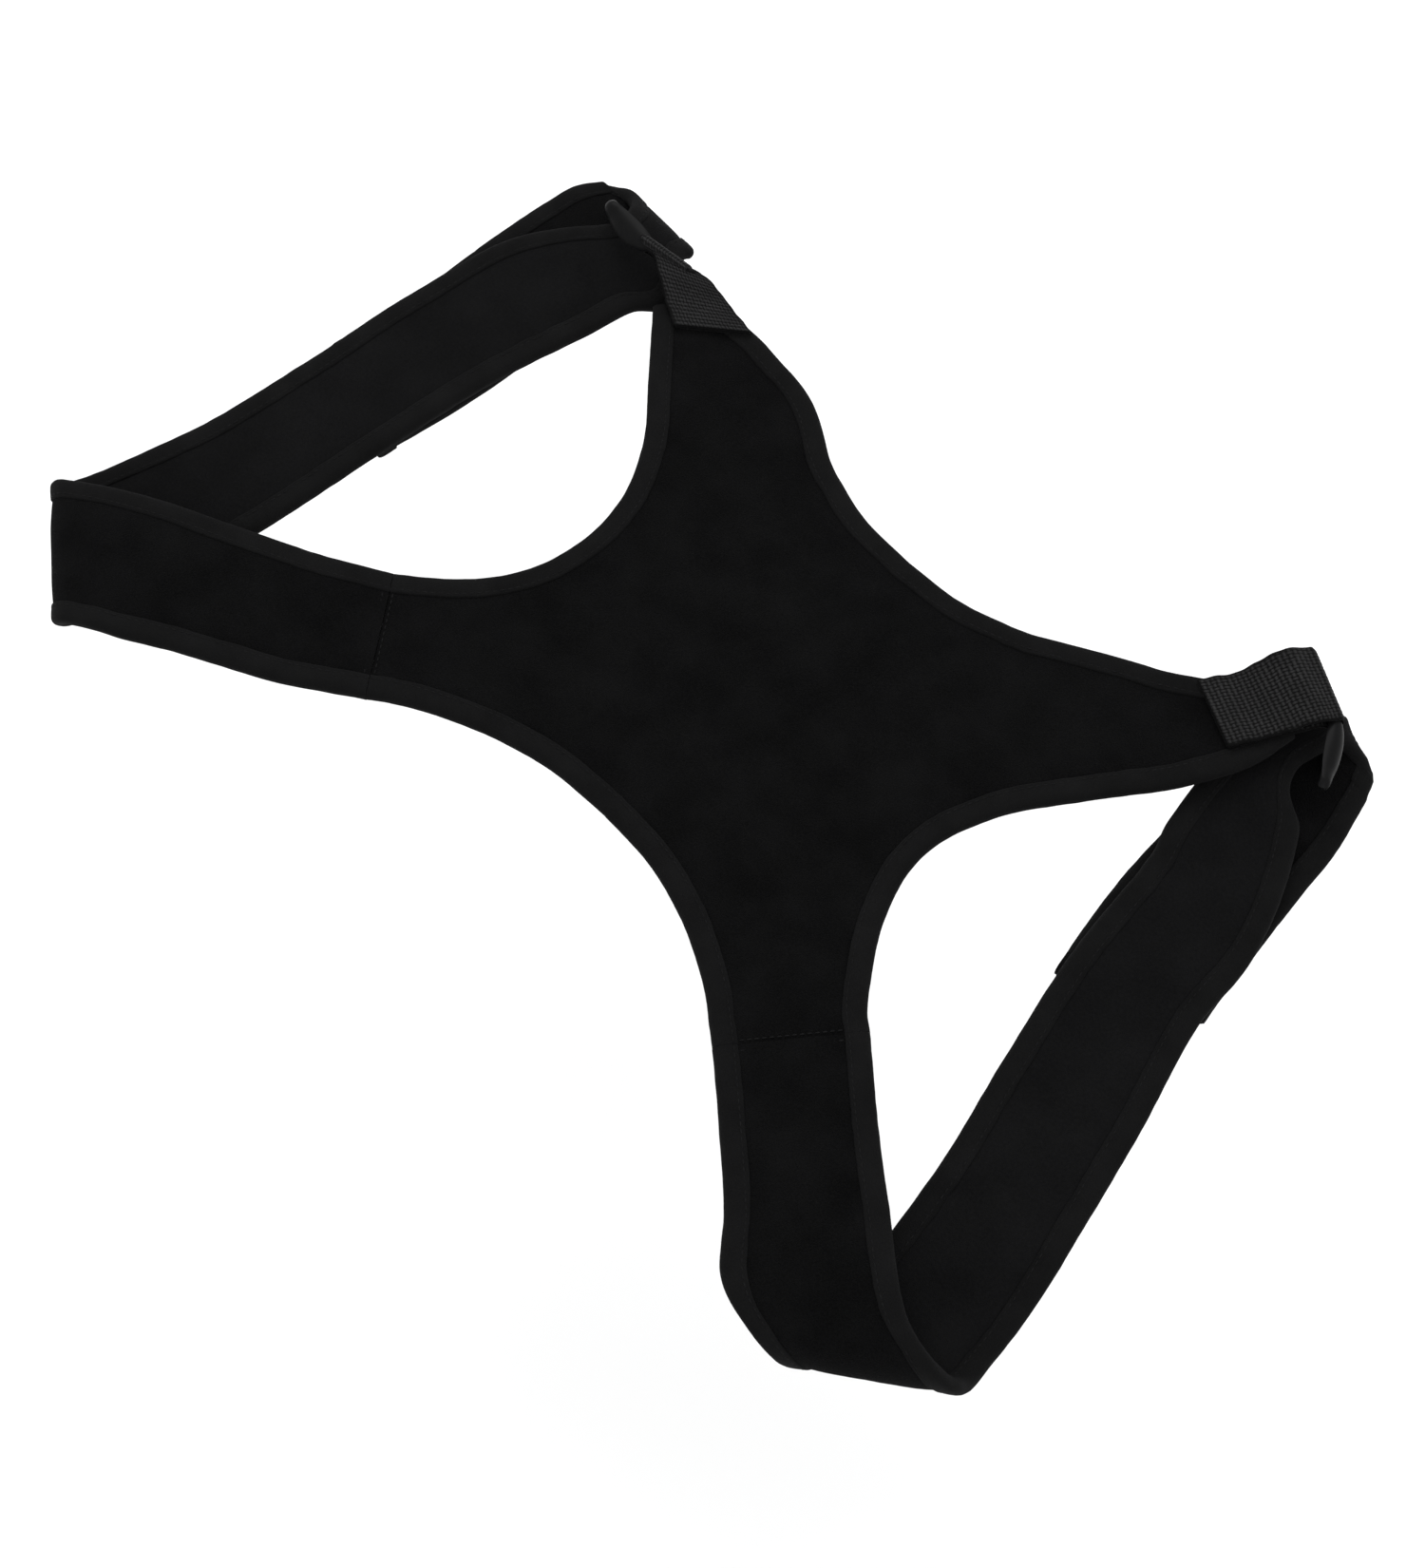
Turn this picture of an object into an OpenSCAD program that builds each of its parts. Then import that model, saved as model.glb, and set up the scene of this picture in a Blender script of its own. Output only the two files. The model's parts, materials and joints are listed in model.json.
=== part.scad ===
// Padded harness lying flat, outer face up.
// Millimetres. Z = 0 is the table, and the origin is under the middle of the whole outline.
// +Y runs from the collar side to the waist side, +X to the wearer's left.
// Both sides share one set of modules, written for the left side and mirrored for the right.
// A side is stated as plan points [distance from the spine line, distance from the armhole line].

/* [Padding] */
// Thickness of the pile cover cloth
cover_t = 0.8; // [0.5:0.1:1.2]
// Thickness of the foam core
core_t = 3; // [2:0.1:3.4]
// Thickness of the smooth lining cloth
lining_t = 0.7; // [0.5:0.1:1]
// Thickness of the binding tape
tape_t = 0.55; // [0.3:0.05:0.6]
// Width of the binding tape on each face
tape_w = 9.5; // [7:0.5:11]

/* [Straps] */
// Width of a long strap
strap_w = 58; // [56:0.5:60]
// Width of a strap where it is bunched to pass through its ring
pinched_w = 41; // [40:0.5:42]
// Radius of the strap's middle layer where it turns over the ring's lower bar
curl_r = 6.5; // [6.4:0.1:6.8]
// Width of the hook patch at the end of a strap
patch_w = 30; // [20:1:32]
// Length of the hook patch
patch_l = 34; // [20:1:38]

/* [Rings and webbing] */
// Radius of a ring's bars
bar_r = 2.2; // [1.8:0.1:2.3]
// Outer length of a ring across the strap
ring_l = 65; // [64:0.5:66]
// Distance between a ring's two long bars, centre to centre
ring_h = 20.6; // [20.4:0.1:20.8]
// Lean of the left ring away from upright, in degrees
left_lean = 10; // [8:1:12]
// Lean of the right ring away from upright, in degrees
right_lean = 24; // [22:1:26]
// Width of the elastic webbing
webbing_w = 32; // [28:1:34]
// Thickness of the elastic webbing
webbing_t = 1.2; // [1:0.1:1.4]

/* [Levels] */
// Height of the panel's middle layer above the table
panel_z = 24; // [23.6:0.1:24.4]
// Height of the long straps' middle layer over their own turned-back ends
run_z = 10.6; // [10.5:0.1:10.8]
// Distance from the spine line to the fold lines of the two wings
fold_x = 82; // [79:1:82]

/* [Hidden] */
$fn = 48;

// Where the spine line meets the armhole line, from the middle of the whole outline
spine = [8.9, -29.4, 0];
// Gap between neighbouring layers
gap = 0.05;
// How far a cut runs past what it cuts
cut_past = 1;
// Middle layer to each side: core, then cloth, then tape
half_core = core_t / 2;
cover_top = half_core + gap + cover_t;
lining_top = half_core + gap + lining_t;
cloth_top = max(cover_top, lining_top);
pad_half = cloth_top + gap + tape_t;
// The cloth stops short of the binding's edge by the tape and a gap
cloth_inset = tape_t + gap;
// Room between the padding of a twisted strap and its binding
twist_gap = 0.2;
// Lowest place the turned-back strap end can have
tail_z = pad_half;
// Gap at a fold line, so the parts of a fold clear each other: on the still side, on the moving side
fold_near = 0.2;
fold_room = 0.3;
fold_far = pad_half + fold_room;
// Smallest distance from a fold line to the next point of an edge, and one beyond every edge
edge_room = 0.5;
beyond = 400;
// Gap at the seam of a long strap, and where the panel's edges take the strap's direction
seam_gap = 0.6;
seam_lead = 7;
// A stitch: length, width, height
stitch = [2, 0.6, 0.4];
// Seam: its distance from the strap's root, number of stitches, room left at its ends
seam_back = 1.8;
seam_count = 11;
seam_end = 1.5;
// Webbing: number of stitches in a row, places of the rows from the sewn end, room left at their ends
web_count = 9;
web_rows = [1.3, 4.3];
web_end = 2;
// Spline points per stretch between two stations, of a strap and of the panel's edges
steps = 4;
edge_steps = 6;
// Angle between two stations of a turn
turn_step = 45;

// ---- Sides: everything that differs between the left and the right as they lie ----
LEFT = 0;
RIGHT = 1;
// Waist edge from the spine line to the tip of the short arm
waist_edge = [
    [[0, 117.1], [22, 118], [50, 125.6], [84, 143.4], [104, 154], [122, 167], [132, 178]],
    [[0, 117.1], [22, 118], [50, 125.6], [84, 143.4], [104, 147], [120, 148.8], [131, 148.8]]
];
// Armhole edge from the tip of the short arm round to near the seam of the long strap
armhole_edge = [
    [[157, 168], [154, 148], [143, 123], [121, 90], [101.5, 57], [95.6, 30], [104.5, 0],
     [118, -20]],
    [[160.5, 127.5], [150, 117], [134, 100.5], [115, 81], [100, 56], [95.2, 30], [102, 0],
     [116, -19]]
];
// Collar edge from near the seam of the long strap to the spine line
collar_edge = [
    [[80, -68.5], [56, -56], [28, -47.6], [0, -45.6]],
    [[80, -66.8], [56, -55.6], [28, -47.6], [0, -45.6]]
];
// Long strap: stations from the seam to the turn, [middle, ruling angle, half width, height]
arm_stations = [
    [[116.6, -59.5, 53, 28.8, panel_z], [142, -80.5, 50.5, 28.4, panel_z + 1.5],
     [167, -100.8, 50, 29, panel_z + 4.5]],
    [[116.3, -56.8, 51.5, 28.4, panel_z], [145, -75, 60, 29.6, panel_z],
     [177, -91, 64, 30.3, panel_z]]
];
// Turn at the shoulder: axis point, angle of the axis, half width, top and bottom height
turn_axis = [[213.9, -113.8], [233, -114.5]];
turn_angle = [37, 37];
turn_half = [32, 34];
turn_top = [32, panel_z];
turn_bottom = [5.5, 5.5];
// Shift along the turn's axis, [before its middle, after it]
turn_shift = [[19, 10], [7.2, 7.2]];
// Stations from the turn to the ring
run_stations = [
    [[210.5, -44, 20, 28, 9], [197, 6, 17, 28, run_z], [184.5, 50, 14, 27, run_z],
     [175, 96, 3, 28.5, run_z + 0.4], [157.5, 143, -18, 25, 13.6]],
    [[224, -52, 11, 29, 8.5], [217.8, 6, 6, 27.8, run_z], [213.5, 66, 6, 28.8, run_z],
     [203.5, 116, 10, 28.5, run_z + 1], [187, 142, 4, 24, 15]]
];
// Ring: middle of its upper bar, angle of the bar in plan, lean away from upright, height of the bar
ring_mid = [[159.5, 180.5], [182, 147.3]];
ring_angle = [-42, 4];
ring_lean = [left_lean, right_lean];
ring_z = 29;
// Turn of the strap round the ring's lower bar: its room beyond the bar, its shift along the bar
// from above to below, and how far its ruling swings
bar_room = [2.7, 5];
curl_from = [-6, 5];
curl_to = [8, 25];
curl_swing = [9, -6];
// How much narrower than its full width the strap is where it leaves that turn
curl_ease = 3;
// Turned-back end: plan stations from the ring to the end, [middle, ruling angle]
tail_stations = [
    [[169.5, 163, -18], [170.5, 137, -10], [173, 108, 2], [178, 80, 14]],
    [[214.5, 140, -6], [217.5, 118, -3], [216.5, 90, 2], [217, 66, 6]]
];
tab_stations = [
    [[178, 80, 14], [184, 51.5, 26]],
    [[217, 66, 6], [222.5, 15.5, 20]]
];
// Where the webbing is sewn to the short arm: middle and angle of its end line
sewn_mid = [[129, 152.5], [133, 136]];
sewn_angle = [-26, -40];
// Shift of the webbing along the ring's bar towards the spine line, and its width round the bar
webbing_shift = [11, 6.5];
loop_w = [webbing_w, webbing_w - 7];
// Webbing from its sewn end to the bar, as parts of the way: end of the flat, sewn part, and arch
flat_place = [0.3, 0.27];
arch_place = [0.6, 0.4];
// Rise of the flat part and of the arch
flat_rise = 0.15;
arch_rise = [4, 0.6];
// How early the webbing turns from the sewn end's angle to the bar's
turn_pace = 2.6;
// Where the webbing nears the bar: distance, and part of the loop's height
bar_lead = [6, 2.7];
lead_z = [0.7, 1];
// Overlap of the webbing's layers with its loop
loop_lap = 0.6;
// Hook patch: thickness, and room round it
patch_t = 1.4;
patch_room = 2.5;

// Colours
pile = [0.07, 0.07, 0.075];
foam = [0.25, 0.25, 0.26];
smooth_cloth = [0.1, 0.1, 0.105];
tape = [0.09, 0.09, 0.095];
elastic = [0.18, 0.18, 0.19];
plastic = [0.05, 0.05, 0.055];
thread = [0.3, 0.3, 0.31];
hook = [0.12, 0.12, 0.125];

// ---- Curves ----
// Distance between two stations over their first k numbers
function reach(a, b, k) = norm([for (j = [0 : k - 1]) b[j] - a[j]]);
// Direction of the spline at station i, weighted towards the nearer neighbour
function slope(p, i, k) =
    let (n = len(p) - 1)
    i == 0 ? (p[1] - p[0]) / reach(p[0], p[1], k)
    : i == n ? (p[n] - p[n - 1]) / reach(p[n - 1], p[n], k)
    : let (before = reach(p[i - 1], p[i], k), after = reach(p[i], p[i + 1], k))
        ((p[i] - p[i - 1]) * after / before + (p[i + 1] - p[i]) * before / after) / (before + after);
// Point on the spline through p, in stretch i at fraction t
function spline_at(p, i, t, k) =
    let (span = reach(p[i], p[i + 1], k), ease = t * t * (3 - 2 * t))
    p[i] * (1 - ease) + p[i + 1] * ease
        + slope(p, i, k) * span * t * (1 - t) * (1 - t) - slope(p, i + 1, k) * span * t * t * (1 - t);
function spline(p, n, k = 2) = concat(
    [for (i = [0 : len(p) - 2]) for (j = [0 : n - 1]) spline_at(p, i, j / n, k)],
    [p[len(p) - 1]]
);
function unit(v) = v / norm(v);
// Curve moved sideways by d, to the right of its direction
function beside(p, d) = [
    for (i = [0 : len(p) - 1])
        let (t = unit(p[min(i + 1, len(p) - 1)] - p[max(i - 1, 0)]))
        p[i] + d * [t[1], -t[0]]
];
function flip(p) = [for (i = [len(p) - 1 : -1 : 0]) p[i]];
// The part of a curve within a range of distances from the spine line
function between(p, near, far) = [for (q = p) if (q[0] >= near && q[0] <= far) q];
// Point of a curve at distance x from the spine line
function crossing(p, x) = [
    for (i = [0 : len(p) - 2])
        if ((p[i][0] - x) * (p[i + 1][0] - x) <= 0 && p[i][0] != p[i + 1][0])
            p[i] + (p[i + 1] - p[i]) * (x - p[i][0]) / (p[i + 1][0] - p[i][0])
][0];

// ---- Flat panel ----
function waist_curve(s) = spline(waist_edge[s], edge_steps);
// Point on an edge of the long strap's root, a distance back from the seam:
// side 1 at the armhole, -1 at the collar
function root_point(s, side, back) =
    let (q = arm_stations[s][0])
    [q[0], q[1]] + side * q[3] * [cos(q[2]), sin(q[2])] - back * [sin(q[2]), -cos(q[2])];
function armhole_curve(s) = spline(
    concat(armhole_edge[s], [root_point(s, 1, seam_lead), root_point(s, 1, seam_gap)]), edge_steps);
function collar_curve(s) = spline(
    concat([root_point(s, -1, seam_gap), root_point(s, -1, seam_lead)], collar_edge[s]), edge_steps);

// Centre part of a spline edge, both sides, from -X to +X, moved in by d
function mirrored(p) = [for (q = p) [-q[0], q[1]]];
function centre_half(curve, x) = concat(between(curve, 0, x - edge_room), [crossing(curve, x)]);
function centre_edge(right, left, x) =
    let (r = centre_half(right, x), l = centre_half(left, x))
    concat(flip(mirrored(r)), [for (i = [1 : len(l) - 1]) l[i]]);
function waist_centre(d) = centre_edge(
    beside(waist_curve(RIGHT), d), beside(waist_curve(LEFT), d), fold_x - fold_near);
function collar_centre(d) = centre_edge(
    flip(beside(collar_curve(RIGHT), d)), flip(beside(collar_curve(LEFT), d)), fold_x - fold_near);

module centre_layer(z0, z1) {
    translate([0, 0, panel_z + z0])
        linear_extrude(z1 - z0)
            polygon(concat(waist_centre(cloth_inset), flip(collar_centre(cloth_inset))));
}

// A binding: tape on both faces and round the edge, between an edge curve and its inner curves
module bound_edge(edge, wall, inner, z) {
    for (side = [-1, 1])
        translate([0, 0, z + side * (cloth_top + gap) + (side < 0 ? -tape_t : 0)])
            linear_extrude(tape_t) polygon(concat(edge, flip(inner)));
    translate([0, 0, z - pad_half])
        linear_extrude(2 * pad_half) polygon(concat(edge, flip(wall)));
}

module side_of(s) {
    if (s == RIGHT) mirror([1, 0, 0]) children();
    else children();
}

// ---- Wings: the panel outside a fold line, with its short arm and the root of its strap ----
function wing_near() = fold_x + fold_far;
function wing_waist(s, d) =
    let (c = beside(waist_curve(s), d))
    concat([crossing(c, wing_near())], between(c, wing_near() + edge_room, beyond));
function wing_collar(s, d) =
    let (c = beside(collar_curve(s), d))
    concat(between(c, wing_near() + edge_room, beyond), [crossing(c, wing_near())]);
function wing_armhole(s, d) = beside(armhole_curve(s), d);

module wing_layer(s, z0, z1) {
    translate([0, 0, panel_z + z0])
        linear_extrude(z1 - z0)
            polygon(concat(wing_waist(s, cloth_inset), wing_armhole(s, cloth_inset),
                wing_collar(s, cloth_inset)));
}
module wing_cover(s) { side_of(s) wing_layer(s, half_core + gap, cover_top); }
module wing_core(s) { side_of(s) wing_layer(s, -half_core, half_core); }
module wing_lining(s) { side_of(s) wing_layer(s, -lining_top, -half_core - gap); }
module wing_waist_binding(s) {
    side_of(s) bound_edge(wing_waist(s, 0), wing_waist(s, tape_t), wing_waist(s, tape_w), panel_z);
}
module wing_collar_binding(s) {
    side_of(s) bound_edge(wing_collar(s, 0), wing_collar(s, tape_t), wing_collar(s, tape_w), panel_z);
}
module wing_armhole_binding(s) {
    side_of(s) bound_edge(wing_armhole(s, 0), wing_armhole(s, tape_t), wing_armhole(s, tape_w),
        panel_z);
}

// ---- Long straps: a ruled sheet through stations [x, y, z, ruling angle, half width] ----
function station(q) = [q[0], q[1], q[4], q[2], q[3]];
// Stations round the shoulder turn, from above to below
function turn_stations(s) =
    let (a = turn_angle[s], r = (turn_top[s] - turn_bottom[s]) / 2)
    [for (t = [0 : turn_step : 180])
        let (along = turn_shift[s][t < 90 ? 0 : 1] * (t / 90 - 1), out = r * sin(t))
        [turn_axis[s][0] + along * cos(a) + out * sin(a),
         turn_axis[s][1] + along * sin(a) - out * cos(a),
         turn_bottom[s] + r * (1 + cos(t)), a, turn_half[s]]];
// Plan direction a ring faces, and the middle of its lower bar
function ring_out(s) = [-sin(ring_angle[s]), cos(ring_angle[s])];
function ring_along(s) = [cos(ring_angle[s]), sin(ring_angle[s])];
function lower_bar(s) = ring_mid[s] + ring_h * sin(ring_lean[s]) * ring_out(s);
// Stations round the ring's lower bar, from above to below
function curl_stations(s) =
    [for (t = [0 : turn_step : 180])
        let (f = t / 180, q = lower_bar(s) + (bar_room[s] + curl_r * sin(t)) * ring_out(s)
            + (curl_from[s] * (1 - f) + curl_to[s] * f) * ring_along(s))
        [q[0], q[1], tail_z + curl_r * (1 + cos(t)), ring_angle[s] + curl_swing[s] * f,
         (pinched_w * (1 - f) + (strap_w - curl_ease) * f) / 2]];
function strap_stations(s) = concat(
    [for (q = arm_stations[s]) station(q)], turn_stations(s),
    [for (q = run_stations[s]) station(q)], curl_stations(s));
function strap_rows(s) = spline(strap_stations(s), steps, 3);

// Frame of a row: middle, ruling direction, outward normal, half width
function row_mid(r) = [r[0], r[1], r[2]];
function row_along(r) = [cos(r[3]), sin(r[3]), 0];
function row_normal(rows, i) =
    let (t = row_mid(rows[min(i + 1, len(rows) - 1)]) - row_mid(rows[max(i - 1, 0)]))
    unit(cross(t, row_along(rows[i])));
// Point of a row: u along the ruling, h along the normal
function row_point(rows, i, u, h) = row_mid(rows[i]) + u * row_along(rows[i]) + h * row_normal(rows, i);

// Whether a profile's side runs towards greater u, or up where it runs along the normal
function rising(a, b) = b[0] > a[0] || (b[0] == a[0] && b[1] > a[1]);
// Solid with a profile [u, h] at each row. points holds every row's profile in space, and cap lists
// the faces of the first row's end. Facing layers share their diagonals, so a twist can't make them meet.
module sweep(points, count, profile, cap) {
    size = len(profile);
    caps = concat(
        cap,
        [for (face = cap) [for (k = flip(face)) (count - 1) * size + k]]
    );
    sides = [
        for (i = [0 : count - 2]) for (k = [0 : size - 1])
            let (next = (k + 1) % size, a = i * size + k, b = i * size + next)
            for (f = rising(profile[k], profile[next])
                ? [[b + size, b, a], [a + size, b + size, a]]
                : [[a + size, b, a], [a + size, b + size, b]]) f
    ];
    polyhedron(points, concat(caps, sides));
}
// One cloth or foam layer of a strap
module strap_layer(s, h0, h1) {
    rows = strap_rows(s);
    function profile(w) = [[-w, h0], [w, h0], [w, h1], [-w, h1]];
    points = [
        for (i = [0 : len(rows) - 1])
            for (q = profile(rows[i][4] - cloth_inset - twist_gap)) row_point(rows, i, q[0], q[1])
    ];
    side_of(s) sweep(points, len(rows), profile(1), [[0, 1, 2, 3]]);
}
// Binding along one edge of a strap: side 1 is the edge away from the spine line on the run
module strap_binding(s, side) {
    rows = strap_rows(s);
    top = pad_half;
    under = cloth_top + twist_gap;
    function profile(w) =
        let (n = w - tape_w, m = w - tape_t)
        side * [[w, -top], [w, top], [n, top], [n, under], [m, under], [m, -under],
                [n, -under], [n, -top]];
    points = [
        for (i = [0 : len(rows) - 1]) for (q = profile(rows[i][4])) row_point(rows, i, q[0], q[1])
    ];
    side_of(s) sweep(points, len(rows), profile(strap_w / 2), [[1, 2, 3, 4], [0, 1, 4, 5], [0, 5, 6, 7]]);
}
module strap_cover(s) { strap_layer(s, half_core + gap, cover_top); }
module strap_core(s) { strap_layer(s, -half_core, half_core); }
module strap_lining(s) { strap_layer(s, -lining_top, -half_core - gap); }

// A row of stitches, centred on the origin
module stitch_row(count, pitch) {
    for (i = [0 : count - 1])
        translate([(i - (count - 1) / 2) * pitch - stitch[0] / 2, -stitch[1] / 2, 0]) cube(stitch);
}
// Thread across the seam where the long strap is sewn to the panel
module seam_stitches(s) {
    q = arm_stations[s][0];
    side_of(s)
        translate([q[0], q[1], panel_z + cloth_top + 4 * gap])
            rotate(q[2])
                translate([0, -seam_back, 0])
                    stitch_row(seam_count, 2 * (q[3] - tape_w - seam_end) / seam_count);
}

// ---- Rings ----
module at_ring(s) {
    side_of(s)
        translate([ring_mid[s][0], ring_mid[s][1], ring_z])
            rotate(ring_angle[s])
                children();
}
module ring(s) {
    half = ring_l / 2 - bar_r;
    at_ring(s) rotate([ring_lean[s], 0, 0]) {
        for (z = [0, -ring_h])
            translate([-half, 0, z]) rotate([0, 90, 0]) cylinder(r = bar_r, h = 2 * half);
        for (x = [-half, half]) {
            translate([x, 0, -ring_h]) cylinder(r = bar_r, h = ring_h);
            for (z = [0, -ring_h]) translate([x, 0, z]) sphere(r = bar_r);
        }
    }
}

// ---- Webbing: sewn on the short arm, looped round the ring's upper bar ----
loop_r = bar_r + gap + webbing_t;
module webbing(s) {
    at_ring(s)
        translate([-webbing_shift[s] - loop_w[s] / 2, 0, 0])
            rotate([0, 90, 0])
                difference() {
                    cylinder(r = loop_r, h = loop_w[s]);
                    translate([0, 0, -cut_past]) cylinder(r = bar_r + gap, h = loop_w[s] + 2 * cut_past);
                }
    side_of(s) webbing_layer(s, 1.5, loop_r - webbing_t / 2);
    side_of(s) webbing_layer(s, 0.5, -loop_r + webbing_t / 2);
}
// Height of a webbing layer on the arm: n is 0.5 for the lower layer and 1.5 for the upper
function layer_z(n) = panel_z + pad_half + 4 * gap + n * (webbing_t + gap);
// One of the two layers, from the sewn end over the arm's tip to just short of the bar's middle
module webbing_layer(s, n, loop_z) {
    bar = ring_mid[s] - webbing_shift[s] * ring_along(s);
    run = (bar - sewn_mid[s]) * ring_out(s);
    function web_row(f, z) =
        let (p = sewn_mid[s] * (1 - f) + bar * f)
        [p[0], p[1], z, ring_angle[s] - (ring_angle[s] - sewn_angle[s]) * pow(1 - f, turn_pace),
         (webbing_w * (1 - f) + loop_w[s] * f) / 2];
    rows = spline([
        web_row(0, layer_z(n)), web_row(flat_place[s], layer_z(n) + flat_rise),
        web_row(arch_place[s], layer_z(n) + arch_rise[s]),
        web_row(1 - bar_lead[s] / run, ring_z + loop_z * lead_z[s]),
        web_row(1 - loop_lap / run, ring_z + loop_z)
    ], steps, 3);
    h = webbing_t / 2;
    function profile(w) = [[-w, h], [w, h], [w, -h], [-w, -h]];
    points = [
        for (r = rows) for (q = profile(r[4])) row_mid(r) + q[0] * row_along(r) + [0, 0, q[1]]
    ];
    sweep(points, len(rows), profile(1), [[0, 1, 2, 3]]);
}
module webbing_stitches(s) {
    side_of(s)
        translate([sewn_mid[s][0], sewn_mid[s][1], layer_z(2) + 4 * gap])
            rotate(sewn_angle[s])
                for (y = web_rows)
                    translate([0, y, 0])
                        stitch_row(web_count, (webbing_w - 2 * web_end) / web_count);
}

// ---- Turned-back strap ends: flat on the table ----
function flat_edge(rows, side, d) = [
    for (r = rows) [r[0], r[1]] + side * (strap_w / 2 - d) * [cos(r[2]), sin(r[2])]
];
// Rows with their first and last moved inwards by a and b along the strap
function trimmed(rows, a, b) =
    let (n = len(rows) - 1, u = unit([rows[1][0] - rows[0][0], rows[1][1] - rows[0][1]]),
        v = unit([rows[n][0] - rows[n - 1][0], rows[n][1] - rows[n - 1][1]]))
    [for (i = [0 : n]) rows[i] + (i == 0 ? [u[0] * a, u[1] * a, 0] : i == n ? [-v[0] * b, -v[1] * b, 0]
        : [0, 0, 0])];
function tail_rows(s) = spline(trimmed(tail_stations[s], 0, fold_near), steps);
function tab_rows(s) = trimmed(tab_stations[s], fold_far, 0);

module flat_pad(rows, d, end, z0, z1) {
    cut = trimmed(rows, 0, end);
    translate([0, 0, tail_z + z0])
        linear_extrude(z1 - z0)
            polygon(concat(flat_edge(cut, -1, d), flip(flat_edge(cut, 1, d))));
}
module tail_layer(s, z0, z1) { side_of(s) flat_pad(tail_rows(s), cloth_inset, 0, z0, z1); }
module tail_cover(s) { tail_layer(s, half_core + gap, cover_top); }
module tail_core(s) { tail_layer(s, -half_core, half_core); }
module tail_lining(s) { tail_layer(s, -lining_top, -half_core - gap); }
module tail_binding(s) {
    rows = tail_rows(s);
    side_of(s) for (e = [-1, 1])
        bound_edge(flat_edge(rows, e, 0), flat_edge(rows, e, tape_t), flat_edge(rows, e, tape_w),
            tail_z);
}
module tab_layer(s, z0, z1) { side_of(s) flat_pad(tab_rows(s), cloth_inset, cloth_inset, z0, z1); }
module tab_cover(s) { tab_layer(s, half_core + gap, cover_top); }
module tab_core(s) { tab_layer(s, -half_core, half_core); }
module tab_lining(s) { tab_layer(s, -lining_top, -half_core - gap); }
// The binding runs round the end, so it is one solid with a slot for the padding
module tab_binding(s) {
    side_of(s) difference() {
        flat_pad(tab_rows(s), 0, 0, -pad_half, pad_half);
        flat_pad(trimmed(tab_rows(s), -cut_past, 0), tape_t, tape_t, -cloth_top - gap, cloth_top + gap);
        flat_pad(trimmed(tab_rows(s), -cut_past, 0), tape_w, tape_w, -pad_half - cut_past,
            pad_half + cut_past);
    }
}
module hook_patch(s) {
    rows = tab_rows(s);
    last = rows[len(rows) - 1];
    back = unit([rows[0][0] - last[0], rows[0][1] - last[1]]);
    room = norm([rows[0][0] - last[0], rows[0][1] - last[1]]) - tape_w - 2 * patch_room;
    length = min(patch_l, room);
    centre = [last[0], last[1]] + (tape_w + patch_room + length / 2) * back;
    side_of(s)
        translate([centre[0], centre[1], tail_z + cloth_top + gap])
            rotate((rows[0][2] + last[2]) / 2)
                translate([-patch_w / 2, -length / 2, 0]) cube([patch_w, length, patch_t]);
}

// ---- Nodes ----
module panel_cover() { color(pile) centre_layer(half_core + gap, cover_top); }
module panel_core() { color(foam) centre_layer(-half_core, half_core); }
module panel_lining() { color(smooth_cloth) centre_layer(-lining_top, -half_core - gap); }
module waist_binding() {
    color(tape) bound_edge(waist_centre(0), waist_centre(tape_t), waist_centre(tape_w), panel_z);
}
module collar_binding() {
    color(tape) bound_edge(collar_centre(0), collar_centre(tape_t), collar_centre(tape_w), panel_z);
}

module left_wing_cover() { color(pile) wing_cover(LEFT); }
module left_wing_core() { color(foam) wing_core(LEFT); }
module left_wing_lining() { color(smooth_cloth) wing_lining(LEFT); }
module left_waist_binding() { color(tape) wing_waist_binding(LEFT); }
module left_collar_binding() { color(tape) wing_collar_binding(LEFT); }
module left_armhole_binding() { color(tape) wing_armhole_binding(LEFT); }
module left_strap_cover() { color(pile) strap_cover(LEFT); }
module left_strap_core() { color(foam) strap_core(LEFT); }
module left_strap_lining() { color(smooth_cloth) strap_lining(LEFT); }
module left_strap_inner_binding() { color(tape) strap_binding(LEFT, -1); }
module left_strap_outer_binding() { color(tape) strap_binding(LEFT, 1); }
module left_seam_stitches() { color(thread) seam_stitches(LEFT); }
module left_webbing() { color(elastic) webbing(LEFT); }
module left_webbing_stitches() { color(thread) webbing_stitches(LEFT); }
module left_ring() { color(plastic) ring(LEFT); }
module left_tail_cover() { color(pile) tail_cover(LEFT); }
module left_tail_core() { color(foam) tail_core(LEFT); }
module left_tail_lining() { color(smooth_cloth) tail_lining(LEFT); }
module left_tail_binding() { color(tape) tail_binding(LEFT); }
module left_tab_cover() { color(pile) tab_cover(LEFT); }
module left_tab_core() { color(foam) tab_core(LEFT); }
module left_tab_lining() { color(smooth_cloth) tab_lining(LEFT); }
module left_tab_binding() { color(tape) tab_binding(LEFT); }
module left_hook_patch() { color(hook) hook_patch(LEFT); }
module right_wing_cover() { color(pile) wing_cover(RIGHT); }
module right_wing_core() { color(foam) wing_core(RIGHT); }
module right_wing_lining() { color(smooth_cloth) wing_lining(RIGHT); }
module right_waist_binding() { color(tape) wing_waist_binding(RIGHT); }
module right_collar_binding() { color(tape) wing_collar_binding(RIGHT); }
module right_armhole_binding() { color(tape) wing_armhole_binding(RIGHT); }
module right_strap_cover() { color(pile) strap_cover(RIGHT); }
module right_strap_core() { color(foam) strap_core(RIGHT); }
module right_strap_lining() { color(smooth_cloth) strap_lining(RIGHT); }
module right_strap_inner_binding() { color(tape) strap_binding(RIGHT, -1); }
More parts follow.
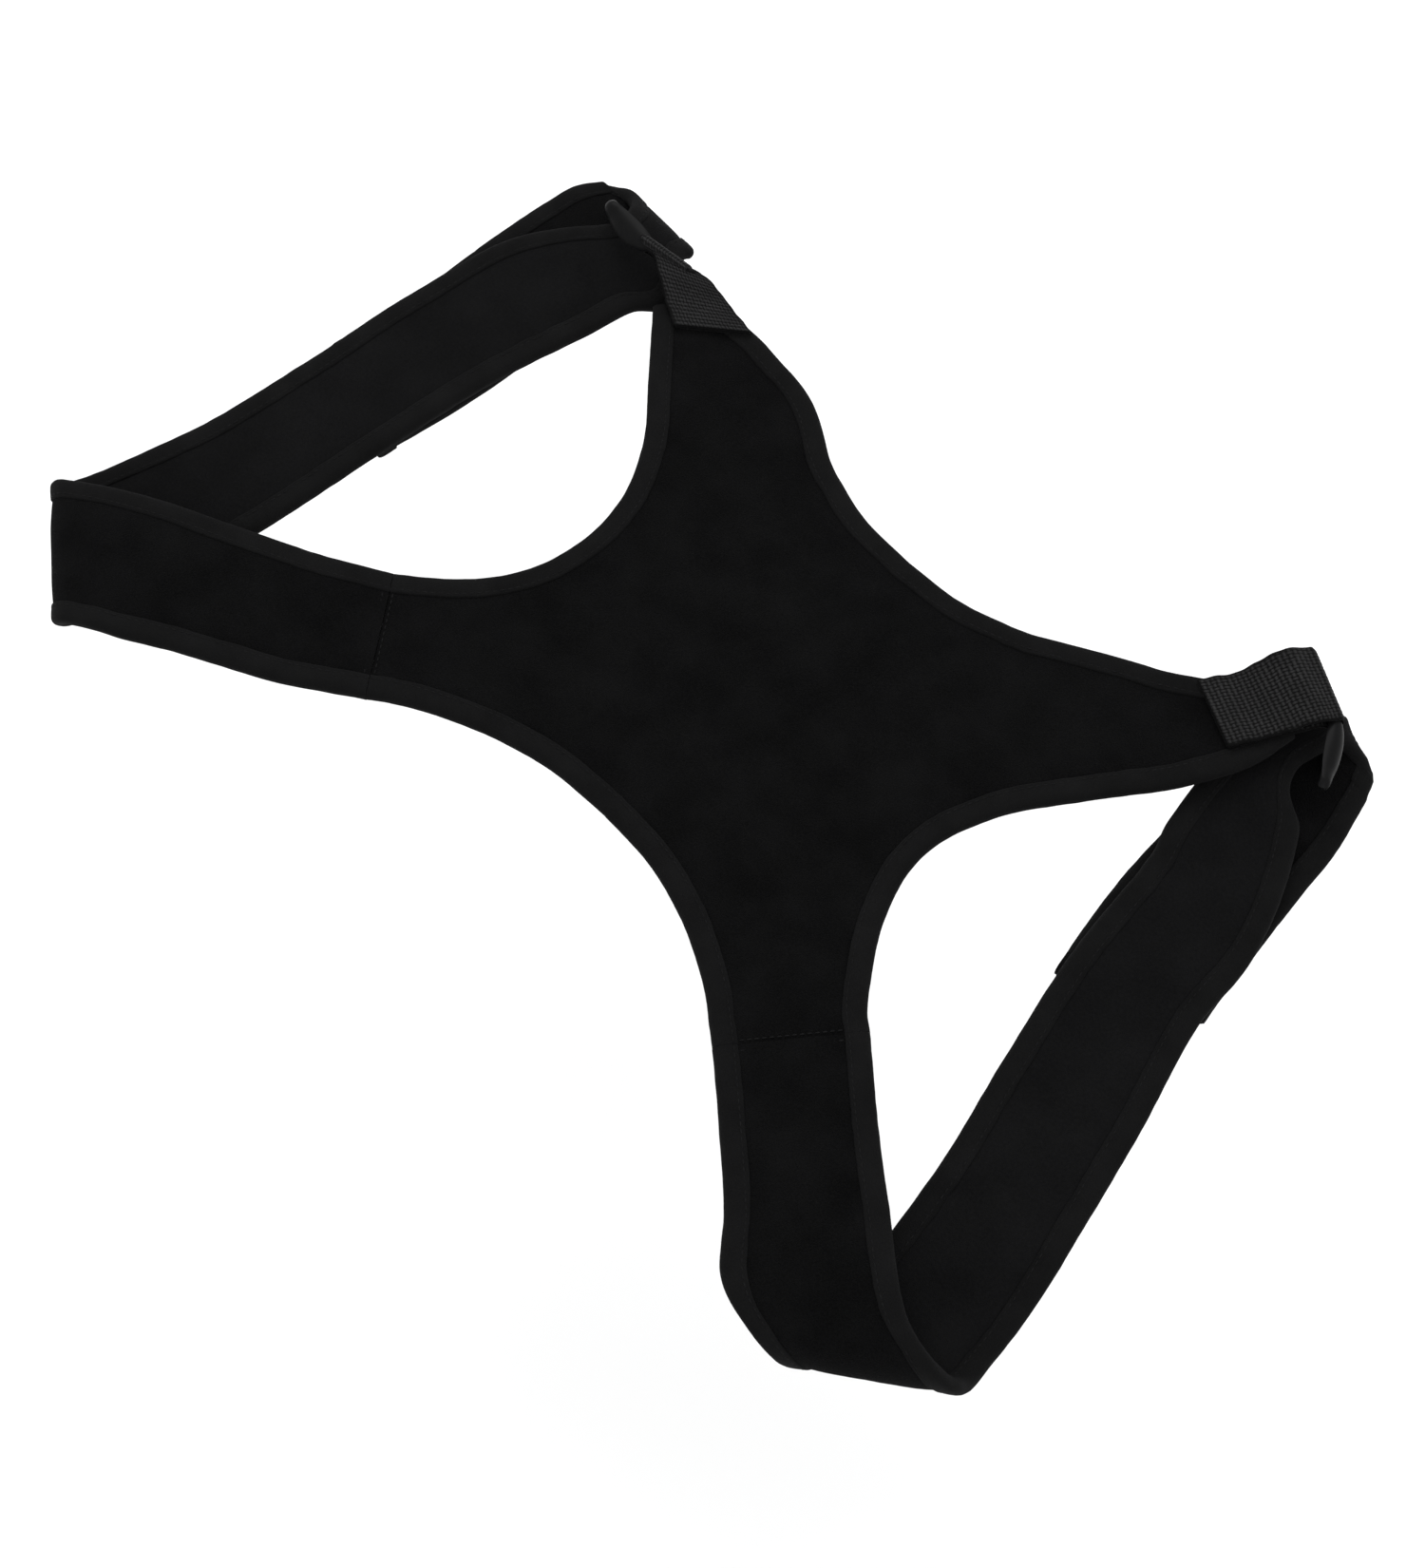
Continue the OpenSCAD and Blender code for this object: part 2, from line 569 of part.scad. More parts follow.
module right_strap_outer_binding() { color(tape) strap_binding(RIGHT, 1); }
module right_seam_stitches() { color(thread) seam_stitches(RIGHT); }
module right_webbing() { color(elastic) webbing(RIGHT); }
module right_webbing_stitches() { color(thread) webbing_stitches(RIGHT); }
module right_ring() { color(plastic) ring(RIGHT); }
module right_tail_cover() { color(pile) tail_cover(RIGHT); }
module right_tail_core() { color(foam) tail_core(RIGHT); }
module right_tail_lining() { color(smooth_cloth) tail_lining(RIGHT); }
module right_tail_binding() { color(tape) tail_binding(RIGHT); }
module right_tab_cover() { color(pile) tab_cover(RIGHT); }
module right_tab_core() { color(foam) tab_core(RIGHT); }
module right_tab_lining() { color(smooth_cloth) tab_lining(RIGHT); }
module right_tab_binding() { color(tape) tab_binding(RIGHT); }
module right_hook_patch() { color(hook) hook_patch(RIGHT); }

translate(spine) {
    panel_cover();
    panel_core();
    panel_lining();
    waist_binding();
    collar_binding();
    left_wing_cover();
    left_wing_core();
    left_wing_lining();
    left_waist_binding();
    left_collar_binding();
    left_armhole_binding();
    left_strap_cover();
    left_strap_core();
    left_strap_lining();
    left_strap_inner_binding();
    left_strap_outer_binding();
    left_seam_stitches();
    left_webbing();
    left_webbing_stitches();
    left_ring();
    left_tail_cover();
    left_tail_core();
    left_tail_lining();
    left_tail_binding();
    left_tab_cover();
    left_tab_core();
    left_tab_lining();
    left_tab_binding();
    left_hook_patch();
    right_wing_cover();
    right_wing_core();
    right_wing_lining();
    right_waist_binding();
    right_collar_binding();
    right_armhole_binding();
    right_strap_cover();
    right_strap_core();
    right_strap_lining();
    right_strap_inner_binding();
    right_strap_outer_binding();
    right_seam_stitches();
    right_webbing();
    right_webbing_stitches();
    right_ring();
    right_tail_cover();
    right_tail_core();
    right_tail_lining();
    right_tail_binding();
    right_tab_cover();
    right_tab_core();
    right_tab_lining();
    right_tab_binding();
    right_hook_patch();
}
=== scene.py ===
"""Looks of the padded harness: sewn soft goods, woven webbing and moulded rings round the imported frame.

Lengths are in millimetres from the spine line until in_frame() turns them into metres in the frame. Each
side is described in plan as [distance from the spine line, Y], and the right side is mirrored. A strap is
a list of rows, each [x, y, z, angle in plan, half width].
"""

import json
import math

import bmesh
import bpy
import numpy as np
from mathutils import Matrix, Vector
from mathutils.geometry import delaunay_2d_cdt


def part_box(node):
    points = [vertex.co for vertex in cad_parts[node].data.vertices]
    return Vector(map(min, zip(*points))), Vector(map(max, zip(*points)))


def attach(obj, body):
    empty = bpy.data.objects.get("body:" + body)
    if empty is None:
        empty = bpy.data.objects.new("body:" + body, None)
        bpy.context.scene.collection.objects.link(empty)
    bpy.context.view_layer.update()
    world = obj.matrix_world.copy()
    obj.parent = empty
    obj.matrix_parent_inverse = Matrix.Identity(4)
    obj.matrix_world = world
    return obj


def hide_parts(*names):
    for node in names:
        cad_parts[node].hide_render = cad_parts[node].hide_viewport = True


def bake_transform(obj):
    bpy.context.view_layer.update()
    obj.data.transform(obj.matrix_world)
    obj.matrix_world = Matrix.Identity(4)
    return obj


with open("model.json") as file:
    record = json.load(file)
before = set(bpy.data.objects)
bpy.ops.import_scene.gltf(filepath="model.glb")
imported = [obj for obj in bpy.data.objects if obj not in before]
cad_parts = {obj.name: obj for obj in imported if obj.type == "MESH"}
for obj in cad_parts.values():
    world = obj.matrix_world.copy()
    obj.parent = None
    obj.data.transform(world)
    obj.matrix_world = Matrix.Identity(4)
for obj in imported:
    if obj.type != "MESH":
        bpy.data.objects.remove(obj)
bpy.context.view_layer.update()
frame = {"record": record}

# ---- Sizes -------------------------------------------------------------------------------------
MM = 0.001
# Binding tape: its width on a face, and half the thickness over it.
TAPE_W = 9.5
TAPE_H = 2.9
# Padding: half its thickness under the tape, how far it reaches under, and its swell between the tapes.
PINCH = 1.95
TAPE_TUCK = 1.1
CROWN = 0.85
# Panel padding: length over which it rises from its rim, limit of the pressure swell, mesh pitch.
RIM_EASE = 7.0
SWELL_CAP = 0.9
PANEL_PITCH = 4.2
RIM_STEP = 4.0
EDGE_STEP = 2.0
# Straps: distance between rows, points across a face, radius of the turn over the ring's lower bar.
ROW_STEP = 2.2
PAD_ACROSS = 19
CURL_R = 6.5
# Ring: radius of its bar, height between its bars, radius of its corners.
BAR_R = 2.2
RING_H = 20.6
RING_CORNER = 4.0
# Webbing: thickness, depth of its weave, distance between cords and between picks, and between rows.
WEB_T = 1.1
WEAVE_DEPTH = 0.42
CORD_PITCH = 1.55
PICK_PITCH = 2.1
WEB_STEP = 0.4
LAYER_GAP = 0.15
# Stitches along a binding: their pitch, distance from the tape's inner edge, and depth in it.
STITCH_PITCH = 3.0
STITCH_INSET = 1.7
STITCH_SINK = 0.2
# Length each side of a fold line given with a piece's bend, for a wing and for a tab.
WING_REACH = 18.0
TAB_REACH = 11.0
TAB_LEAD = 14.0


def box_mm(node):
    """Lowest and highest corner of a CAD node, in millimetres."""
    low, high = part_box(node)
    return np.array(low) / MM, np.array(high) / MM


PANEL_Z = float(sum(c[2] for c in box_mm("panel_core")) / 2)
TAIL_Z = float(sum(c[2] for c in box_mm("left_tail_core")) / 2)
RING_Z = float(box_mm("left_ring")[1][2]) - BAR_R
FOLD_X = 82.0
RUN_Z = 10.6
JOINTS = {joint["name"]: joint for joint in frame["record"]["behaviour"]["joints"]}
SPINE = sum(np.array(JOINTS[f"{k}_wing_fold"]["pos_m"]) for k in ("left", "right")) / 2 / MM * [1, 1, 0]

SIDES = {
    "left": {
        "sign": 1,
        "waist": [[0, 117.1], [22, 118], [50, 125.6], [84, 143.4], [104, 154], [122, 167], [132, 178]],
        "armhole": [[157, 168], [154, 148], [143, 123], [121, 90], [101.5, 57], [95.6, 30],
                    [104.5, 0], [118, -20]],
        "collar": [[80, -68.5], [56, -56], [28, -47.6], [0, -45.6]],
        "arm": [[116.6, -59.5, PANEL_Z, 53, 28.8], [142, -80.5, PANEL_Z + 1.5, 50.5, 28.4],
                [167, -100.8, PANEL_Z + 4.5, 50, 29]],
        "turn": {"axis": [213.9, -113.8], "angle": 37, "shift": [19, 10], "half": 32, "top": 32,
                 "bottom": 5.5},
        "run": [[210.5, -44, 9, 20, 28], [197, 6, RUN_Z, 17, 28], [184.5, 50, RUN_Z, 14, 27],
                [177, 98, RUN_Z + 0.4, 1.5, 27], [162.5, 135.5, 13.6, 22, 22]],
        "curl": {"inner": [[144.5, 172], [152.5, 188.5], [158.5, 196], [155.5, 193], [149, 184.5]],
                 "outer": [[166.5, 157], [164.5, 169.5], [171, 186.5], [182, 188.5], [188.5, 179]]},
        "tail": [[166.5, 159.5, -3, 28], [171, 126.5, 9, 28], [175, 94, 14.5, 29], [178.5, 72, 18, 29],
                 [183, 51.5, 26, 29]],
        "hinge": [177.5, 80, 17],
        "web": {"inner": [[115.4, 157.5, 0], [119.5, 164.5, -0.4], [123.8, 171.5, -0.4],
                          [127, 178.3, 3.4], [131.5, 188, 6], [137.2, 200.2, 0]],
                "outer": [[143.4, 144.2, 0], [147.5, 151.3, 0], [151.6, 158.5, 0.2], [156.5, 166, 2.2],
                          [161.5, 175.5, 2.6], [166.8, 184.4, 0]]},
        "bar": [[138.5, 194.8], [149.5, 189.2], [164.5, 181.2], [172.5, 170.5], [179.2, 158]],
        "bare_from": 0.5, "leaf": 0.85, "lean": 10, "low_bar": [[171.5, 174.5], [141, 202]],
    },
    "right": {
        "sign": -1,
        "waist": [[0, 117.1], [22, 118], [50, 125.6], [84, 143.4], [104, 147], [120, 148.8],
                  [131, 148.8]],
        "armhole": [[160.5, 127.5], [150, 117], [134, 100.5], [115, 81], [100, 56], [95.2, 30],
                    [102, 0], [116, -19]],
        "collar": [[80, -66.8], [56, -55.6], [28, -47.6], [0, -45.6]],
        "arm": [[116.3, -56.8, PANEL_Z, 51.5, 28.4], [145, -75, PANEL_Z, 60, 29.6],
                [177, -91, PANEL_Z, 64, 30.3]],
        "turn": {"axis": [233, -114.5], "angle": 37, "shift": [7.2, 7.2], "half": 34, "top": PANEL_Z,
                 "bottom": 5.5},
        "run": [[224, -52, 8.5, 11, 29], [217.8, 6, RUN_Z, 6, 27.8], [213.5, 66, RUN_Z, 6, 28.8],
                [203.5, 116, RUN_Z + 1, 10, 29], [197, 130, 13.2, 9.5, 26],
                [186.8, 142.9, 15, 9.4, 24.8]],
        "curl": {"inner": [[175, 158.5], [175, 163], [177.5, 165.5], [181.5, 167.5], [183.5, 166.5]],
                 "outer": [[208.5, 152.5], [211.5, 161], [218.5, 167.5], [229, 170], [237, 167.5]]},
        "tail": [[215.5, 153, 9.5, 28], [217, 137, 17, 29], [217.5, 110, 8, 29], [217, 66, 6, 29],
                 [221.5, 15.5, 20, 29]],
        "hinge": [217, 66, 6],
        "web": {"inner": [[120.7, 146.3, 0], [128.5, 147.6, 0], [136.3, 148.8, 0.4],
                          [144.5, 150, 1.2], [153, 150.8, 0.8], [161, 151.0, 0]],
                "outer": [[145.3, 125.7, 0], [153, 129.5, 0], [160.5, 133.8, 0.3], [169, 138.6, 1],
                          [178, 143.6, 0.6], [187.1, 148.6, 0]]},
        "bar": [[161.5, 146.6], [173.4, 146.0], [185, 145.4], [198, 145.9], [209, 148.4]],
        "bare_from": 0.43, "leaf": 1.4, "lean": 16, "low_bar": [[214.5, 157], [165.5, 154.5]],
    },
}


def in_frame(points, sign):
    """Points of a side, in millimetres, as metres in the frame."""
    return (points * [sign, 1, 1] + SPINE) * MM


# ---- Curves ------------------------------------------------------------------------------------
def spline(points, per=24, k=2):
    """Smooth curve through stations, per points to a stretch; the first k numbers are the place."""
    p = [np.array(q, float) for q in points]
    last = len(p) - 1

    def reach(i):
        return np.linalg.norm((p[i + 1] - p[i])[:k])

    def slope(i):
        if i == 0:
            return (p[1] - p[0]) / reach(0)
        if i == last:
            return (p[last] - p[last - 1]) / reach(last - 1)
        before, after = reach(i - 1), reach(i)
        return ((p[i] - p[i - 1]) * after / before + (p[i + 1] - p[i]) * before / after) / (before + after)

    out = []
    for i in range(last):
        for j in range(per):
            t = j / per
            ease = t * t * (3 - 2 * t)
            lean = slope(i) * t * (1 - t) ** 2 - slope(i + 1) * t * t * (1 - t)
            out.append(p[i] * (1 - ease) + p[i + 1] * ease + lean * reach(i))
    out.append(p[last])
    return np.array(out)


def run_length(curve, k=3):
    """Distance along a curve at each of its points."""
    steps = np.linalg.norm(np.diff(curve[:, :k], axis=0), axis=1)
    return np.concatenate([[0], np.cumsum(steps)])


def even(curve, spacing, k=3):
    """The curve resampled at an even spacing."""
    s = run_length(curve, k)
    count = max(2, int(round(s[-1] / spacing)) + 1)
    places = np.linspace(0, s[-1], count)
    return np.column_stack([np.interp(places, s, column) for column in curve.T])


def unit(v):
    return v / np.maximum(np.linalg.norm(v, axis=-1, keepdims=True), 1e-9)


def plan_dir(degrees):
    a = np.radians(degrees)
    return np.stack([np.cos(a), np.sin(a), np.zeros_like(a)], axis=-1)


def ripple(x, y, scale, seed, waves=7):
    """Smooth uneven surface between about -1 and 1, the same on every run."""
    rng = np.random.default_rng(seed)
    total = np.zeros(np.broadcast(x, y).shape)
    for _ in range(waves):
        a, phase = rng.uniform(0, 2 * math.pi, 2)
        k = 2 * math.pi / (scale * rng.uniform(0.7, 1.6))
        total += np.sin(k * (x * math.cos(a) + y * math.sin(a)) + phase)
    return total / math.sqrt(waves) / 1.4


# ---- Meshes ------------------------------------------------------------------------------------
def mesh_piece(name, verts, faces, sign, material_index=None, angle=45):
    """Closed mesh from points in millimetres, with faces turned outwards and smooth shading."""
    points = in_frame(np.array(verts, float), sign)
    mesh = bpy.data.meshes.new(name)
    mesh.from_pydata(points.tolist(), [], [list(f) for f in faces])
    if material_index is not None:
        mesh.polygons.foreach_set("material_index", np.array(material_index, np.int32))
    bm = bmesh.new()
    bm.from_mesh(mesh)
    bmesh.ops.recalc_face_normals(bm, faces=bm.faces)
    bm.to_mesh(mesh)
    bm.free()
    mesh.polygons.foreach_set("use_smooth", [True] * len(mesh.polygons))
    mesh.set_sharp_from_angle(angle=math.radians(angle))
    obj = bpy.data.objects.new(name, mesh)
    bpy.context.scene.collection.objects.link(obj)
    return obj


def tube(points):
    """Quads and end caps over rows of points: verts, faces, and each face's place round the row."""
    rows, size = points.shape[:2]
    faces, place = [], []
    for i in range(rows - 1):
        for k in range(size):
            a, b = i * size + k, i * size + (k + 1) % size
            faces.append((a, b, b + size, a + size))
            place.append(k)
    faces.append(tuple(range(size - 1, -1, -1)))
    faces.append(tuple((rows - 1) * size + k for k in range(size)))
    place += [0, 0]
    return points.reshape(-1, 3), faces, np.array(place)


def swept(mid, along, normal, sections):
    """Points of rows: sections holds [along, normal] offsets, rows by points by 2."""
    return (mid[:, None] + sections[..., :1] * along[:, None] + sections[..., 1:] * normal[:, None])


class Gather:
    """Collects many small closed shapes into one mesh."""

    def __init__(self):
        self.verts, self.faces = [], []

    def add(self, verts, faces):
        base = len(self.verts)
        self.verts.extend(verts)
        self.faces.extend(tuple(base + k for k in f) for f in faces)


CAPSULE_RINGS = [(-0.86, 0.6), (-0.4, 1.0), (0.4, 1.0), (0.86, 0.6)]


def stitch(place, along, normal, length, radius):
    """One stitch: a short rounded thread lying on the cloth."""
    side = np.cross(normal, along)
    count = 6
    verts = [place - along * length / 2]
    for t, r in CAPSULE_RINGS:
        for k in range(count):
            a = 2 * math.pi * k / count
            lift = 0.12 * (1 - t * t)
            verts.append(place + along * t * length / 2
                         + (side * math.cos(a) + normal * (math.sin(a) * 0.8 + lift)) * radius * r)
    verts.append(place + along * length / 2)
    faces = []
    last = len(verts) - 1
    for k in range(count):
        n = (k + 1) % count
        faces.append((0, 1 + n, 1 + k))
        faces.append((last, last - count + k, last - count + n))
        for ring in range(len(CAPSULE_RINGS) - 1):
            a = 1 + ring * count
            faces.append((a + k, a + n, a + count + n, a + count + k))
    return verts, faces


def stitch_row(gather, path, normals, length=2.1, radius=0.28, pitch=STITCH_PITCH):
    """Stitches at an even pitch along a path."""
    s = run_length(path)
    count = int(s[-1] / pitch)
    for i in range(count):
        at = (i + 0.5) * s[-1] / count
        place = np.array([np.interp(at, s, path[:, j]) for j in range(3)])
        ahead = np.array([np.interp(at + 0.5, s, path[:, j]) for j in range(3)])
        behind = np.array([np.interp(at - 0.5, s, path[:, j]) for j in range(3)])
        normal = unit(np.array([np.interp(at, s, normals[:, j]) for j in range(3)]))
        gather.add(*stitch(place, unit(ahead - behind), normal, length, radius))


# ---- Panel outline -----------------------------------------------------------------------------
def root_point(side, edge, back):
    """Point on an edge of the long strap's root, back from its seam: edge 1 armhole, -1 collar."""
    x, y, _, angle, half = side["arm"][0]
    a = math.radians(angle)
    return [x + edge * half * math.cos(a) - back * math.sin(a),
            y + edge * half * math.sin(a) + back * math.cos(a)]


def outline(side):
    """Waist, armhole and collar edges as dense plan curves; the panel is on the right of each."""
    return {
        "waist": spline(side["waist"]),
        "armhole": spline(side["armhole"] + [root_point(side, 1, 7), root_point(side, 1, 0.3)]),
        "collar": spline([root_point(side, -1, 0.3), root_point(side, -1, 7)] + side["collar"]),
    }


def inset(curve, distance):
    t = unit(np.gradient(curve, axis=0))
    return curve + distance * np.column_stack([t[:, 1], -t[:, 0]])


def sag(x, y):
    """How far the panel lies below or above its flat level: soft waves, level at its joins."""
    away = np.clip((98 - np.abs(x)) / 60, 0, 1)
    away = away * away * (3 - 2 * away)
    return away * (-1.2 + 0.8 * ripple(np.sqrt(x * x + 900), y, 150, 5))


def panel_half(side):
    """Triangles over one half of the padded area, between the spine line and the bindings."""
    edges = outline(side)
    inner = TAPE_W - TAPE_TUCK
    parts = [even(inset(edges[k], inner), RIM_STEP, 2) for k in ("waist", "armhole", "collar")]
    parts[0][0, 0] = 0
    parts[2][-1, 0] = 0
    top, bottom = parts[0][0, 1], parts[2][-1, 1]
    spine = [[0, y] for y in np.linspace(bottom, top, 40)[1:-1]]
    tip = even(np.array([parts[0][-1], parts[1][0]]), RIM_STEP, 2)[1:-1]
    seam = even(np.array([parts[1][-1], parts[2][0]]), RIM_STEP, 2)[1:-1]
    rim = np.vstack([parts[0], tip, parts[1], seam, parts[2]])
    loop = np.vstack([rim, spine])
    inside = []
    row_pitch = PANEL_PITCH * 0.866
    for j, y in enumerate(np.arange(loop[:, 1].min(), loop[:, 1].max(), row_pitch)):
        for x in np.arange(0.5 * PANEL_PITCH * (1 + j % 2), loop[:, 0].max(), PANEL_PITCH):
            if np.min(np.hypot(loop[:, 0] - x, loop[:, 1] - y)) > PANEL_PITCH * 0.55:
                inside.append([x, y])
    points = [Vector(q) for q in loop.tolist() + inside]
    ring = [(i, (i + 1) % len(loop)) for i in range(len(loop))]
    verts, _, faces, _, _, _ = delaunay_2d_cdt(points, ring, [], 1, 1e-5)
    return np.array([list(v) for v in verts]), [tuple(f) for f in faces], rim


# ---- Materials ---------------------------------------------------------------------------------
def material(name, colour, dark, light, scales, rough, sheen, bump, specular, weave=None, cords=False):
    """Cloth or plastic: colour mottled between dark and light times itself, fine bump, sheen.

    cords paints shade into the hollows of a weave and a painted highlight onto its cord tops, from the mesh's
    own cord heights.
    """
    mat = bpy.data.materials.new(name)
    mat.use_nodes = True
    nodes, links = mat.node_tree.nodes, mat.node_tree.links
    bsdf = nodes["Principled BSDF"]
    coords = nodes.new("ShaderNodeTexCoord")
    broad = nodes.new("ShaderNodeTexNoise")
    broad.inputs["Scale"].default_value = scales[0]
    broad.inputs["Detail"].default_value = 4
    fine = nodes.new("ShaderNodeTexNoise")
    fine.inputs["Scale"].default_value = scales[1]
    fine.inputs["Detail"].default_value = 3
    links.new(coords.outputs["Object"], broad.inputs["Vector"])
    links.new(coords.outputs["Object"], fine.inputs["Vector"])
    mix = nodes.new("ShaderNodeMix")
    mix.data_type = "FLOAT"
    mix.inputs["Factor"].default_value = 0.45
    links.new(broad.outputs["Fac"], mix.inputs["A"])
    links.new(fine.outputs["Fac"], mix.inputs["B"])
    ramp = nodes.new("ShaderNodeValToRGB")
    ramp.color_ramp.elements[0].position = 0.35
    ramp.color_ramp.elements[1].position = 0.65
    ramp.color_ramp.elements[0].color = [c * dark for c in colour] + [1]
    ramp.color_ramp.elements[1].color = [c * light for c in colour] + [1]
    links.new(mix.outputs["Result"], ramp.inputs["Fac"])
    shown = ramp.outputs["Color"]
    # Painted shade and highlight: colour multiplied by 0.02 in the weave's hollows, rising to 1.9 on its cord
    # tops.
    if cords:
        height = nodes.new("ShaderNodeAttribute")
        height.attribute_name = "cord"
        depth = nodes.new("ShaderNodeValToRGB")
        depth.color_ramp.elements[0].position = 0.5
        depth.color_ramp.elements[1].position = 0.98
        depth.color_ramp.elements[0].color = [0.02, 0.02, 0.02, 1]
        depth.color_ramp.elements[1].color = [1.9, 1.9, 1.9, 1]
        links.new(height.outputs["Fac"], depth.inputs["Fac"])
        painted_weave_shade = nodes.new("ShaderNodeMix")
        painted_weave_shade.data_type = "RGBA"
        painted_weave_shade.blend_type = "MULTIPLY"
        painted_weave_shade.inputs["Factor"].default_value = 1
        links.new(shown, painted_weave_shade.inputs["A"])
        links.new(depth.outputs["Color"], painted_weave_shade.inputs["B"])
        shown = painted_weave_shade.outputs["Result"]
    links.new(shown, bsdf.inputs["Base Color"])
    bsdf.inputs["Roughness"].default_value = rough
    bsdf.inputs["Specular IOR Level"].default_value = specular
    bsdf.inputs["Sheen Weight"].default_value = sheen
    bsdf.inputs["Sheen Roughness"].default_value = 0.5
    bsdf.inputs["Sheen Tint"].default_value = [0.5, 0.5, 0.52, 1]
    height = fine.outputs["Fac"]
    if weave:
        fibre = nodes.new("ShaderNodeTexVoronoi")
        fibre.inputs["Scale"].default_value = weave
        links.new(coords.outputs["Object"], fibre.inputs["Vector"])
        add = nodes.new("ShaderNodeMath")
        add.operation = "ADD"
        links.new(fine.outputs["Fac"], add.inputs[0])
        links.new(fibre.outputs["Distance"], add.inputs[1])
        height = add.outputs[0]
    lift = nodes.new("ShaderNodeBump")
    lift.inputs["Strength"].default_value = bump
    lift.inputs["Distance"].default_value = 0.0004
    links.new(height, lift.inputs["Height"])
    links.new(lift.outputs["Normal"], bsdf.inputs["Normal"])
    return mat


MATERIALS = {
    "pile": material("pile_cloth", (0.0034, 0.0034, 0.0035), dark=0.6, light=1.5, scales=(45, 1400),
                     rough=0.97, sheen=0.02, bump=0.9, specular=0.02, weave=2600),
    "lining": material("lining_cloth", (0.0045, 0.0045, 0.0047), dark=0.75, light=1.3, scales=(40, 900),
                       rough=0.9, sheen=0.02, bump=0.5, specular=0.03, weave=3200),
    "tape": material("binding_tape", (0.0049, 0.0049, 0.005), dark=0.75, light=1.3, scales=(60, 1800),
                     rough=0.88, sheen=0.025, bump=0.5, specular=0.04, weave=3600),
    # Elastic webbing; cords=True gives painted shade in its weave hollows and painted highlight on its cord
    # tops.
    "elastic": material("elastic_webbing", (0.0105, 0.0105, 0.0107), dark=0.8, light=1.25,
                        scales=(120, 2200), rough=0.8, sheen=0.03, bump=0.4, specular=0.1, weave=4200,
                        cords=True),
    "thread": material("thread", (0.0052, 0.0052, 0.0054), dark=0.7, light=1.5, scales=(200, 3000),
                       rough=0.7, sheen=0.02, bump=0.3, specular=0.06),
    "plastic": material("ring_plastic", (0.0045, 0.0045, 0.0047), dark=0.9, light=1.2, scales=(60, 700),
                        rough=0.4, sheen=0, bump=0.06, specular=0.06),
    "hook": material("hook_tape", (0.009, 0.009, 0.0092), dark=0.8, light=1.3, scales=(200, 2500),
                     rough=0.6, sheen=0, bump=0.3, specular=0.2),
}


def finish_piece(obj, materials, nodes, body=None, bend=None):
    """Gives a piece its materials, hides the CAD nodes it stands for and puts it on the body it rides on;
    with a bend it only has its placement baked, and the bend is not applied here.
    """
    for m in materials:
        obj.data.materials.append(MATERIALS[m])
    if nodes:
        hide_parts(*nodes)
    if bend:
        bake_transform(obj)
    else:
        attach(obj, body)
    return obj


def wing_bend(name, side):
    """Bend of a piece that crosses a wing's fold line."""
    ends = [[FOLD_X - WING_REACH, 0, PANEL_Z], [FOLD_X + WING_REACH, 0, PANEL_Z]]
    return ("panel", name + "_wing", *in_frame(np.array(ends), side["sign"]).tolist())


# ---- Bindings ----------------------------------------------------------------------------------
def tape_section(s, seed, half=TAPE_H):
    """Tape folded over an edge: [inwards, up] offsets for each place s along it."""
    upper = [(TAPE_W, PINCH), (TAPE_W - 0.1, half - 0.35), (TAPE_W - 0.7, half - 0.1),
             (TAPE_W - 1.7, half - 0.22), (TAPE_W - 2.7, half - 0.03), (5.0, half + 0.05),
             (3.0, half), (1.6, half - 0.35), (0.6, half - 1.1), (0.08, half - 2.1)]
    section = np.array(upper + [(q[0], -q[1]) for q in reversed(upper)])
    out = np.repeat(section[None], len(s), axis=0)
    shift = 0.22 * ripple(s, 0, 17, seed) + 0.12 * ripple(s, 0, 6, seed + 1)
    inner = (out[..., 0] > TAPE_W - 3)
    out[..., 0] += np.where(inner, shift[:, None], 0.5 * shift[:, None])
    out[..., 1] *= 1 + 0.05 * ripple(s, 0, 9, seed + 2)[:, None]
    return out


def tape_piece(name, sign, edge, inward, up, seed):
    s = run_length(edge)
    verts, faces, _ = tube(swept(edge, inward, up, tape_section(s, seed)))
    return mesh_piece(name, verts, faces, sign, angle=60)


def tape_stitches(gather, edge, inward, up):
    """A row of stitches near the inner edge of the tape on each face."""
    for face in (1, -1):
        path = edge + inward * (TAPE_W - STITCH_INSET) + up * face * (TAPE_H - STITCH_SINK)
        stitch_row(gather, path, up * face)


def panel_edge(curve):
    """Edge, inward and up directions of a plan curve of the panel, at its sagging level."""
    plan = even(curve, EDGE_STEP, 2)
    t = unit(np.gradient(plan, axis=0))
    inward = np.column_stack([t[:, 1], -t[:, 0], np.zeros(len(t))])
    middle = inset(plan, TAPE_W / 2)
    z = PANEL_Z + sag(middle[:, 0], middle[:, 1])
    if abs(plan[0, 0]) < 1e-6:
        inward[0] = [0, -1, 0]
    if abs(plan[-1, 0]) < 1e-6:
        inward[-1] = [0, 1, 0]
    return np.column_stack([plan, z]), inward, np.tile([0.0, 0, 1], (len(plan), 1))


def panel_bindings(name, side):
    gather = Gather()
    for i, (kind, curve) in enumerate(outline(side).items()):
        edge, inward, up = panel_edge(curve)
        piece = tape_piece(f"{name}_{kind}_tape", side["sign"], edge, inward, up, 11 + i)
        nodes = [f"{name}_{kind}_binding"]
        if kind != "armhole":
            nodes.append(f"{kind}_binding")
        finish_piece(piece, ["tape"], nodes, bend=wing_bend(name, side))
        tape_stitches(gather, edge, inward, up)
    piece = mesh_piece(f"{name}_panel_thread", gather.verts, gather.faces, side["sign"])
    finish_piece(piece, ["thread"], [], bend=wing_bend(name, side))


